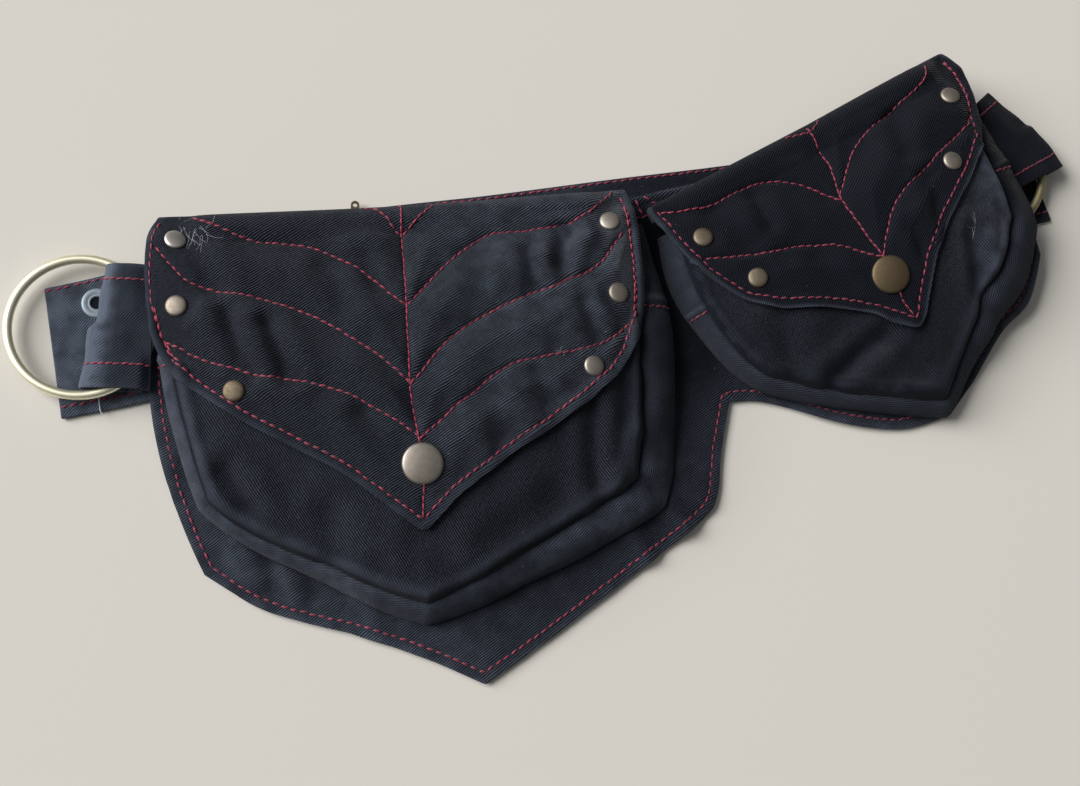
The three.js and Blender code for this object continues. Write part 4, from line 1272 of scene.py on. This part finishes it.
def twill_material(tree, shader):
    """Blue-black cotton twill with rubbing on its edges, painted light and shade, and lint."""
    colours = belt_colours()
    place = object_place(tree)
    cloth = add_node(tree, "UVMap", uv_map="cloth").outputs[0]
    # The kept value holds rubbing together with painted light and shade.
    rubbed, clear = attribute(tree, "rubbed"), attribute(tree, "ribs")
    weave = node_group(
        "Twill weave", {"Cloth": "Vector", "Pitch": "Float", "Clear": "Float"},
        {"Height": "Float", "Rib": "Float"}, build_weave)
    ribs = place_group(tree, weave, {"Cloth": cloth, "Pitch": belt_sizes().twill_pitch, "Clear": clear})
    fading = node_group(
        "Fading", {"Cloth": "Color", "Faded": "Color", "Place": "Vector", "Rubbed": "Float", "Rib": "Float"},
        {"Colour": "Color"}, build_fading)
    worn = place_group(tree, fading, {
        "Cloth": colours.cloth, "Faded": colours.faded, "Place": place, "Rubbed": rubbed,
        "Rib": ribs["Rib"]})
    lint = node_group("Lint", {"Place": "Vector", "Amount": "Float"}, {"Mask": "Float"}, build_lint)
    dust = place_group(tree, lint, {"Place": place, "Amount": SPECKS.amount})
    crumple = bump(tree, WEAVE.crumple, noise(tree, place, WEAVE.crumple_scale, detail=3.0))
    feed(tree, shader.inputs, {
        "Base Color": mix_node(tree, dust["Mask"], worn["Colour"], colours.lint),
        "Normal": bump(tree, WEAVE.bump, ribs["Height"], Normal=crumple),
        "Roughness": 0.88, "Specular IOR Level": 0.13, "Sheen Weight": 0.06, "Sheen Roughness": 0.45})


def thread_material(tree, shader):
    """Crimson thread, darkened towards the right over the small pouch as painted shade, and with a little
    change from stitch to stitch.
    """
    colour = belt_colours().thread
    place = object_place(tree)
    fibres = noise(tree, place, THREAD.fibre_scale, detail=3.0)
    shade = times(tree, attribute(tree, "shade"), THREAD.shade)
    share = plus(tree, shade, times(tree, fibres, THREAD.fibres))
    # Painted shade darkens the thread towards the right.
    right = ranged(tree, add_node(tree, "SeparateXYZ", {0: place}).outputs["X"], *THREAD_PAINTED_SHADE)
    share = minus(tree, share, times(tree, right, THREAD.dull))
    feed(tree, shader.inputs, {
        "Base Color": mix_node(tree, share, darker(colour, THREAD.dark), colour),
        "Normal": bump(tree, THREAD.bump, fibres),
        "Roughness": 0.5, "Specular IOR Level": 0.5, "Sheen Weight": 0.25, "Sheen Roughness": 0.4})


def fibre_material(tree, shader):
    """Pale fibres of lint."""
    feed(tree, shader.inputs, {"Base Color": belt_colours().lint, "Roughness": 0.7})


def worn_metal(tree, shader, bright, dull, metallic=1.0):
    """A worn metal between two colours."""
    group = node_group(
        "Tarnish", {"Bright": "Color", "Dull": "Color", "Place": "Vector", "Tarnish": "Float"},
        {"Colour": "Color", "Roughness": "Float", "Scuff": "Float"}, build_tarnish)
    worn = place_group(tree, group, {
        "Bright": bright, "Dull": dull, "Place": object_place(tree), "Tarnish": attribute(tree, "tarnish")})
    feed(tree, shader.inputs, {
        "Base Color": worn["Colour"], "Roughness": worn["Roughness"], "Metallic": metallic,
        "Normal": bump(tree, TARNISH.bump, worn["Scuff"])})


def cap_material(tree, shader):
    """Antique plating of the rivets, the snaps and the zip pull."""
    worn_metal(tree, shader, belt_colours().bright_cap, belt_colours().dull_cap)


def ring_material(tree, shader):
    """Pale worn brass of the rings."""
    worn_metal(tree, shader, belt_colours().bright_ring, belt_colours().dull_ring)


def steel_material(tree, shader):
    """Dull steel of the eyelet."""
    steel = belt_colours().steel
    worn_metal(tree, shader, steel, darker(steel, STEEL.dark), STEEL.metallic)


def floor_material(tree, shader):
    """Plain pale table top."""
    feed(tree, shader.inputs, {
        "Base Color": belt_colours().floor, "Roughness": 0.9, "Specular IOR Level": 0.1})


# Operators, one for each piece or group of like pieces

class BELT_OT_strap(bpy.types.Operator):
    """Adds the strap behind the panel"""

    bl_idname = "belt.strap"
    bl_label = "Strap"

    def execute(self, context):
        def wear_and_painted_shading(u, v, flat, points):
            from_hole = np.hypot(points[:, 0] - EYELET.x, points[:, 1] - EYELET.y)
            shown = ease(from_hole, EYELET.hole, EYELET.hole + HOLE_SHADE.width)
            rubbed = ridges(STRAP_RUBBED, np.minimum(v, 1 - v) * STRAP_WIDTH)
            # Painted shade darkens the strap's right end and the cloth inside the eyelet's hole.
            tone = np.interp(flat[:, 0], *STRAP_TONE_AND_PAINTED_SHADE) - HOLE_SHADE.dark * (1 - shown)
            return rubbed + tone, make.ribs * shown

        make = STRAP_MAKE
        strap = cloth_piece("back_strap", make.grid, strap_surface, STRAP_THICK, wear_and_painted_shading, make.bias)
        upper, lower = STRAP_MARGINS
        share = np.linspace(0.0, 1.0, make.points)
        places = (upper / STRAP_WIDTH, 1 - lower / STRAP_WIDTH)
        lines = [
            along_sheet(strap_surface, share, np.full_like(share, place), STRAP_THICK)
            for place in places]
        thread = sew("back_strap_stitching", lines, make.seed)
        declare(strap)
        return {"FINISHED"}


class BELT_OT_panel(bpy.types.Operator):
    """Adds the shaped back panel with its stitched edge"""

    bl_idname = "belt.panel"
    bl_label = "Back panel"

    def execute(self, context):
        def surface(u, v):
            x, y = panel_plan(u, v).T
            return panel_surface(x, y), np.stack([x, y], axis=1)

        def wear_and_painted_shading(u, v, flat, points):
            x, y = flat.T
            # Painted light on the panel's left and painted shade on the strip between the pouches.
            left = PANEL_PAINTED_SHADING.left * (1 - ease(x, *PANEL_PAINTED_SHADING.left_run))
            dark = PANEL_PAINTED_SHADING.dark * bell(distance_to_run(*PAINTED_SHADE_STRIP, x, y), PANEL_PAINTED_SHADING.dark_width)
            return ridges(PANEL_RUBBED, distance_to(PANEL_TREE, x, y)) + left - dark, make.ribs

        make = PANEL_MAKE
        panel = cloth_piece("back_panel", make.grid, surface, make.thick, wear_and_painted_shading, make.bias)
        seams = [inset(panel_edge, -PANEL_MARGIN), *(evenly(seam) for seam in CORNER_SEAMS)]
        lines = [on_cloth(panel_surface, seam, make.thick) for seam in seams]
        thread = sew("back_panel_stitching", lines, make.seed)
        declare(panel)
        return {"FINISHED"}


class BELT_OT_pouches(bpy.types.Operator):
    """Adds the fronts and gussets of both pouches"""

    bl_idname = "belt.pouches"
    bl_label = "Pouches"

    def execute(self, context):
        for pouch in (LARGE, SMALL):
            self.add_front(pouch)
            self.add_gusset(pouch)
        return {"FINISHED"}

    def add_front(self, pouch):
        """The crowned front of one pouch."""
        def surface(u, v):
            across, down = front_plan(pouch, u, v).T
            return front_surface(pouch, across, down), np.stack([across, -down], axis=1)

        def wear_and_painted_shading(u, v, flat, points):
            edge = distance_to(pouch.front_tree, flat[:, 0], -flat[:, 1])
            # Painted light and shade across the front.
            tone = np.interp(flat[:, 0] / pouch.half_width, make.places, pouch.front_painted_shading)
            return ridges(FRONT_RUBBED_AND_SEAM_SHADE, edge) + tone, make.ribs + make.more_ribs * ease(edge, *make.ribs_run)

        make = FRONT_MAKE
        node = f"{pouch.name}_pouch_front"
        front = cloth_piece(node, make.grid, surface, FRONT_THICK, wear_and_painted_shading, pouch.front_bias)
        declare(front)

    def add_gusset(self, pouch):
        """The folded side strip of one pouch, with its hem stitches."""
        def surface(u, v):
            return gusset_sheet(pouch, u, v)

        def wear_and_painted_shading(u, v, flat, points):
            # Painted light and shade along the gusset.
            tone = np.interp(u, make.places, pouch.gusset_painted_shading)
            return ridges(GUSSET_RUBBED_AND_SEAM_SHADE, 1 - v) + HEM_RUBBED * hem_ridge(pouch, u) + tone, make.ribs

        make = GUSSET_MAKE
        node = f"{pouch.name}_pouch_gusset"
        gusset = cloth_piece(node, make.grid, surface, GUSSET_THICK, wear_and_painted_shading, make.bias)
        share = np.linspace(*GUSSET_SEWN, make.points)
        lines = [
            along_sheet(surface, np.full_like(share, place), share, GUSSET_THICK)
            for place in pouch.hems]
        thread = sew(node + "_stitching", lines, make.seed)
        declare(gusset)


class BELT_OT_flaps(bpy.types.Operator):
    """Adds the quilted flaps with their leaf-vein stitching"""

    bl_idname = "belt.flaps"
    bl_label = "Flaps"

    def execute(self, context):
        for pouch in (LARGE, SMALL):
            self.add_flap(pouch)
        return {"FINISHED"}

    def add_flap(self, pouch):
        """One flap and its stitching."""
        def surface(u, v):
            return flap_sheet(pouch, u, v)

        def wear_and_painted_shading(u, v, flat, points):
            across, down = flap_plan(pouch, u, np.clip((v - ROLL_END) / (1 - ROLL_END), 0, 1)).T
            edge = distance_to(pouch.flap_tree, across, down)
            seam = distance_to(pouch.seam_tree, across, down)
            # Painted light and shade across the flap.
            tone = np.interp(across / pouch.half_width, make.places, pouch.flap_painted_shading)
            rubbed = ridges(FLAP_RUBBED, edge) + ridges(SEAM_RUBBED, seam)
            ribs = make.ribs + (pouch.flap_ribs - make.ribs) * ease(edge, *make.ribs_run)
            return rubbed + tone * (1 - bell(edge, FLAP_PLAIN_EDGE)), ribs

        make = FLAP_MAKE
        flap = cloth_piece(f"{pouch.name}_flap", make.grid, surface, FLAP_THICK, wear_and_painted_shading, pouch.flap_bias)
        lines = [
            on_cloth(lambda a, d: flap_surface(pouch, a, d), line, FLAP_THICK)
            for line in (pouch.hem_line, *pouch.seam_lines, *pouch.double_lines)]
        shares = [1.0, OVERLAPPED_GAP] + [0.0] * (len(lines) - 2)
        thread = sew(f"{pouch.name}_flap_stitching", lines, make.seed, shares)
        declare(flap)


class BELT_OT_loops(bpy.types.Operator):
    """Adds the cloth loops that hold the rings"""

    bl_idname = "belt.loops"
    bl_label = "Ring loops"

    def execute(self, context):
        for loop in (LEFT_LOOP, RIGHT_LOOP):
            self.add_loop(loop)
        return {"FINISHED"}

    def add_loop(self, loop):
        """One loop and its two sewn lines."""
        def surface(u, v):
            return loop_sheet(loop, u, v)

        def wear_and_painted_shading(u, v, flat, points):
            edge = np.minimum(u, 1 - u) * 2 * loop.half_width
            # Fading on the left loop's fold, and painted shade over the whole right loop.
            return np.interp(v, make.places, loop.fade_and_painted_shade) + ridges(LOOP_RUBBED, edge), make.ribs

        make = LOOP_MAKE
        strip = cloth_piece(loop.name, make.grid, surface, LOOP_THICK, wear_and_painted_shading, make.bias)
        share = np.linspace(*loop.sewn_length, make.points)
        lines = [along_sheet(surface, np.full_like(share, u), share, LOOP_THICK) for u in loop.sewn]
        thread = sew(loop.name + "_stitching", lines, make.seed, LOOP_GAP)
        declare(strip)


class BELT_OT_rings(bpy.types.Operator):
    """Adds the brass rings"""

    bl_idname = "belt.rings"
    bl_label = "Rings"

    def execute(self, context):
        sides, steps = RING_STEPS
        for ring in (LEFT_RING, RIGHT_RING):
            wire = bmesh.new()
            section = bmesh.ops.create_circle(wire, segments=sides, radius=RING_WIRE * MM)["verts"]
            bmesh.ops.rotate(wire, verts=section, matrix=Matrix.Rotation(math.pi / 2, 3, "X"))
            bmesh.ops.translate(wire, verts=section, vec=(RING_RADIUS * MM, 0, 0))
            spin(wire, steps)
            middle = Vector(to_frame(np.array([ring.x, ring.y, ring.z])))
            place = Matrix.Translation(middle) @ Matrix.Rotation(ring.tilt, 4, "Y")
            finish = material("Ring brass", ring_material)
            finish_metal(ring.name + "_metal", wire, place, finish, ring.tarnish, ring.name)
        return {"FINISHED"}


class BELT_OT_caps(bpy.types.Operator):
    """Adds the rivets and the snap caps"""

    bl_idname = "belt.caps"
    bl_label = "Rivets and snaps"

    rivet_profile = (
        (0, -0.4), (0.9, -0.4), (1, 0.1), (0.99, 0.5), (0.92, 0.85), (0.76, 1.1), (0.5, 1.27), (0.25, 1.35),
        (0, 1.38))
    snap_profile = (
        (0, -0.4), (0.92, -0.4), (1, 0.2), (0.99, 0.7), (0.95, 1.1), (0.87, 1.32), (0.72, 1.6), (0.48, 1.92),
        (0.24, 2.08), (0, 2.12))

    def execute(self, context):
        rivet = [(RIVET_RADIUS * share, height) for share, height in self.rivet_profile]
        snap = [(SNAP_RADIUS * share, height) for share, height in self.snap_profile]
        for pouch in (LARGE, SMALL):
            for i, (spot, tarnish) in enumerate(zip(pouch.rivets, pouch.rivet_tarnish), start=1):
                self.add_cap(pouch, spot, f"{pouch.name}_rivet_{i}", rivet, tarnish, RIVET_STEPS)
            node = f"{pouch.name}_snap_cap"
            self.add_cap(pouch, pouch.snap, node, snap, pouch.snap_tarnish, SNAP_STEPS)
        return {"FINISHED"}

    def add_cap(self, pouch, spot, node, profile, tarnish, steps):
        """One cap, pressed into the flap and square to it."""
        reach = profile[2][0]
        around = np.linspace(0, 2 * math.pi, RIM_POINTS, endpoint=False)
        rim = np.array(spot) + reach * np.stack([np.cos(around), np.sin(around)], axis=1)
        points = flap_surface(pouch, rim[:, 0], rim[:, 1])
        middle = points.mean(axis=0)
        normal = Vector(np.linalg.svd(points - middle)[2][2])
        normal *= math.copysign(1.0, normal.z)
        base = Vector(to_frame(middle)) + normal * (FLAP_THICK / 2 - CAP_SINK) * MM
        place = Matrix.Translation(base) @ Vector((0, 0, 1)).rotation_difference(normal).to_matrix().to_4x4()
        finish = material("Cap plating", cap_material)
        finish_metal(node + "_metal", lathe(profile, steps), place, finish, tarnish, node)


class BELT_OT_hardware(bpy.types.Operator):
    """Adds the strap's eyelet and finishes the zip pull"""

    bl_idname = "belt.hardware"
    bl_label = "Eyelet and zip pull"

    def execute(self, context):
        finish = material("Dark steel", steel_material)
        outer, hole, height = EYELET.outer, EYELET.hole, EYELET.height
        profile = [
            (outer, -0.6), (outer, 0.25), (outer - 0.25, height - 0.2), (outer - 0.7, height - 0.06),
            (hole + 1.3, height - 0.06), (hole + 1.0, height - 0.3), (hole + 0.6, height),
            (hole + 0.2, height - 0.1), (hole, 0.3), (hole, -0.6), (outer, -0.6)]
        place = Matrix.Translation(Vector(to_frame(np.array([EYELET.x, EYELET.y, STRAP_THICK]))))
        rim = lathe(profile, EYELET_STEPS)
        finish_metal("strap_eyelet_metal", rim, place, finish, EYELET_TARNISH, "strap_eyelet")
        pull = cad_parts["zip_pull"]
        pull.data.materials.clear()
        pull.data.materials.append(material("Cap plating", cap_material))
        keep_value(pull.data, "tarnish", np.ones(len(pull.data.vertices)))
        return {"FINISHED"}


class BELT_OT_lint(bpy.types.Operator):
    """Adds the pale fibres on the cloth and a loose thread"""

    bl_idname = "belt.lint"
    bl_label = "Lint"

    def execute(self, context):
        chance = np.random.default_rng(FIBRE.seed)
        faces = {"flap": (flap_surface, FLAP_THICK), "front": (front_surface, FRONT_THICK)}
        shape = bmesh.new()
        for pouch, face, spot, size, count in LINT_SPOTS:
            surface, thick = faces[face]
            for _ in range(count):
                curve = self.tangle(chance, np.array(spot), size)
                points, normal = on_cloth(lambda a, d: surface(pouch, a, d), curve, thick)
                add_fibre(shape, points + FIBRE.lift * normal, FIBRE.radius)
        add_fibre(shape, smooth_line(LOOSE_THREAD), LOOSE_RADIUS)
        close(shape)
        add_piece("lint_fibres", mesh_of("lint", shape), material("Pale fibre", fibre_material))
        return {"FINISHED"}

    def tangle(self, chance, spot, size):
        """A curling line that starts near a spot."""
        turn = chance.uniform(0, 2 * math.pi) + np.cumsum(chance.normal(0, FIBRE.turns, FIBRE.points))
        steps = size * FIBRE.step_share * np.stack([np.cos(turn), np.sin(turn)], axis=1)
        return smooth_line(spot + chance.normal(0, FIBRE.spread * size, 2) + np.cumsum(steps, axis=0))


class BELT_OT_stage(bpy.types.Operator):
    """Adds the table, the light and the camera"""

    bl_idname = "belt.stage"
    bl_label = "Stage"

    def execute(self, context):
        scene = context.scene
        self.add_floor(scene)
        for name, place, size, power in LIGHTS:
            self.add_light(scene, name, place, size, power)
        world = bpy.data.worlds.new("Room")
        scene.world = world
        world.use_nodes = True
        backdrop = world.node_tree.nodes["Background"]
        backdrop.inputs["Color"].default_value = ROOM_COLOUR
        backdrop.inputs["Strength"].default_value = ROOM_STRENGTH
        scene.view_settings.view_transform = "Standard"
        self.add_camera(scene)
        return {"FINISHED"}

    def add_floor(self, scene):
        """A plain table under the belt."""
        shape = bmesh.new()
        bmesh.ops.create_grid(shape, x_segments=1, y_segments=1, size=TABLE_SIZE)
        bmesh.ops.translate(shape, verts=shape.verts, vec=(0, 0, -TABLE_DROP))
        mesh = mesh_of("floor", shape)
        floor = bpy.data.objects.new("floor", mesh)
        mesh.materials.append(material("Table", floor_material))
        scene.collection.objects.link(floor)

    def add_light(self, scene, name, place, size, power):
        """A soft square light that faces the belt."""
        light = bpy.data.lights.new(name, "AREA")
        light.shape = "SQUARE"
        light.size = size
        light.energy = power
        lamp = bpy.data.objects.new(name, light)
        lamp.location = place
        lamp.rotation_euler = (-Vector(place)).to_track_quat("-Z", "Y").to_euler()
        scene.collection.objects.link(lamp)

    def add_camera(self, scene):
        """A camera nearly above the belt, turned and placed as in the photograph."""
        away = Vector((-math.tan(CAMERA_LEAN[0]), -math.tan(CAMERA_LEAN[1]), 1.0)).normalized()
        target = Vector(to_frame(np.array(CAMERA_TARGET)))
        right = (-away).cross(Vector((0, 1, 0))).normalized()
        up = away.cross(right)
        data = bpy.data.cameras.new("Camera")
        data.lens = CAMERA_LENS
        data.sensor_width = CAMERA_SENSOR
        data.clip_start = 0.01
        camera = bpy.data.objects.new("Camera", data)
        turned = Matrix((right, up, away)).transposed().to_4x4()
        camera.matrix_world = Matrix.Translation(target + away * CAMERA_DISTANCE * MM) @ turned
        scene.collection.objects.link(camera)
        scene.camera = camera


class BELT_PT_builder(bpy.types.Panel):
    """Lists the belt's settings and its pieces"""

    bl_idname = "BELT_PT_builder"
    bl_label = "Pocket belt"
    bl_space_type = "VIEW_3D"
    bl_region_type = "UI"
    bl_category = "Pocket belt"

    def draw(self, context):
        for group in (context.scene.belt_sizes, context.scene.belt_colours):
            for setting in group.bl_rna.properties:
                if not setting.is_readonly and setting.identifier != "name":
                    self.layout.prop(group, setting.identifier)
        for operator in OPERATORS:
            self.layout.operator(operator.bl_idname)


OPERATORS = (
    BELT_OT_strap, BELT_OT_panel, BELT_OT_rings, BELT_OT_loops, BELT_OT_pouches, BELT_OT_flaps, BELT_OT_caps,
    BELT_OT_hardware, BELT_OT_lint, BELT_OT_stage,
)
CLASSES = (BeltSizes, BeltColours, *OPERATORS, BELT_PT_builder)


def register():
    """Registers the belt's settings, operators and panel."""
    for cls in CLASSES:
        bpy.utils.register_class(cls)
    bpy.types.Scene.belt_sizes = bpy.props.PointerProperty(type=BeltSizes)
    bpy.types.Scene.belt_colours = bpy.props.PointerProperty(type=BeltColours)


def unregister():
    """Takes the belt's settings, operators and panel out again."""
    del bpy.types.Scene.belt_colours
    del bpy.types.Scene.belt_sizes
    for cls in reversed(CLASSES):
        bpy.utils.unregister_class(cls)


def main():
    """Builds the belt and its stage."""
    register()
    for pouch in (LARGE, SMALL):
        prepare(pouch)
    bpy.ops.belt.strap()
    bpy.ops.belt.panel()
    bpy.ops.belt.rings()
    bpy.ops.belt.loops()
    bpy.ops.belt.pouches()
    bpy.ops.belt.flaps()
    bpy.ops.belt.caps()
    bpy.ops.belt.hardware()
    bpy.ops.belt.lint()
    bpy.ops.belt.stage()


if __name__ == "__main__":
    main()
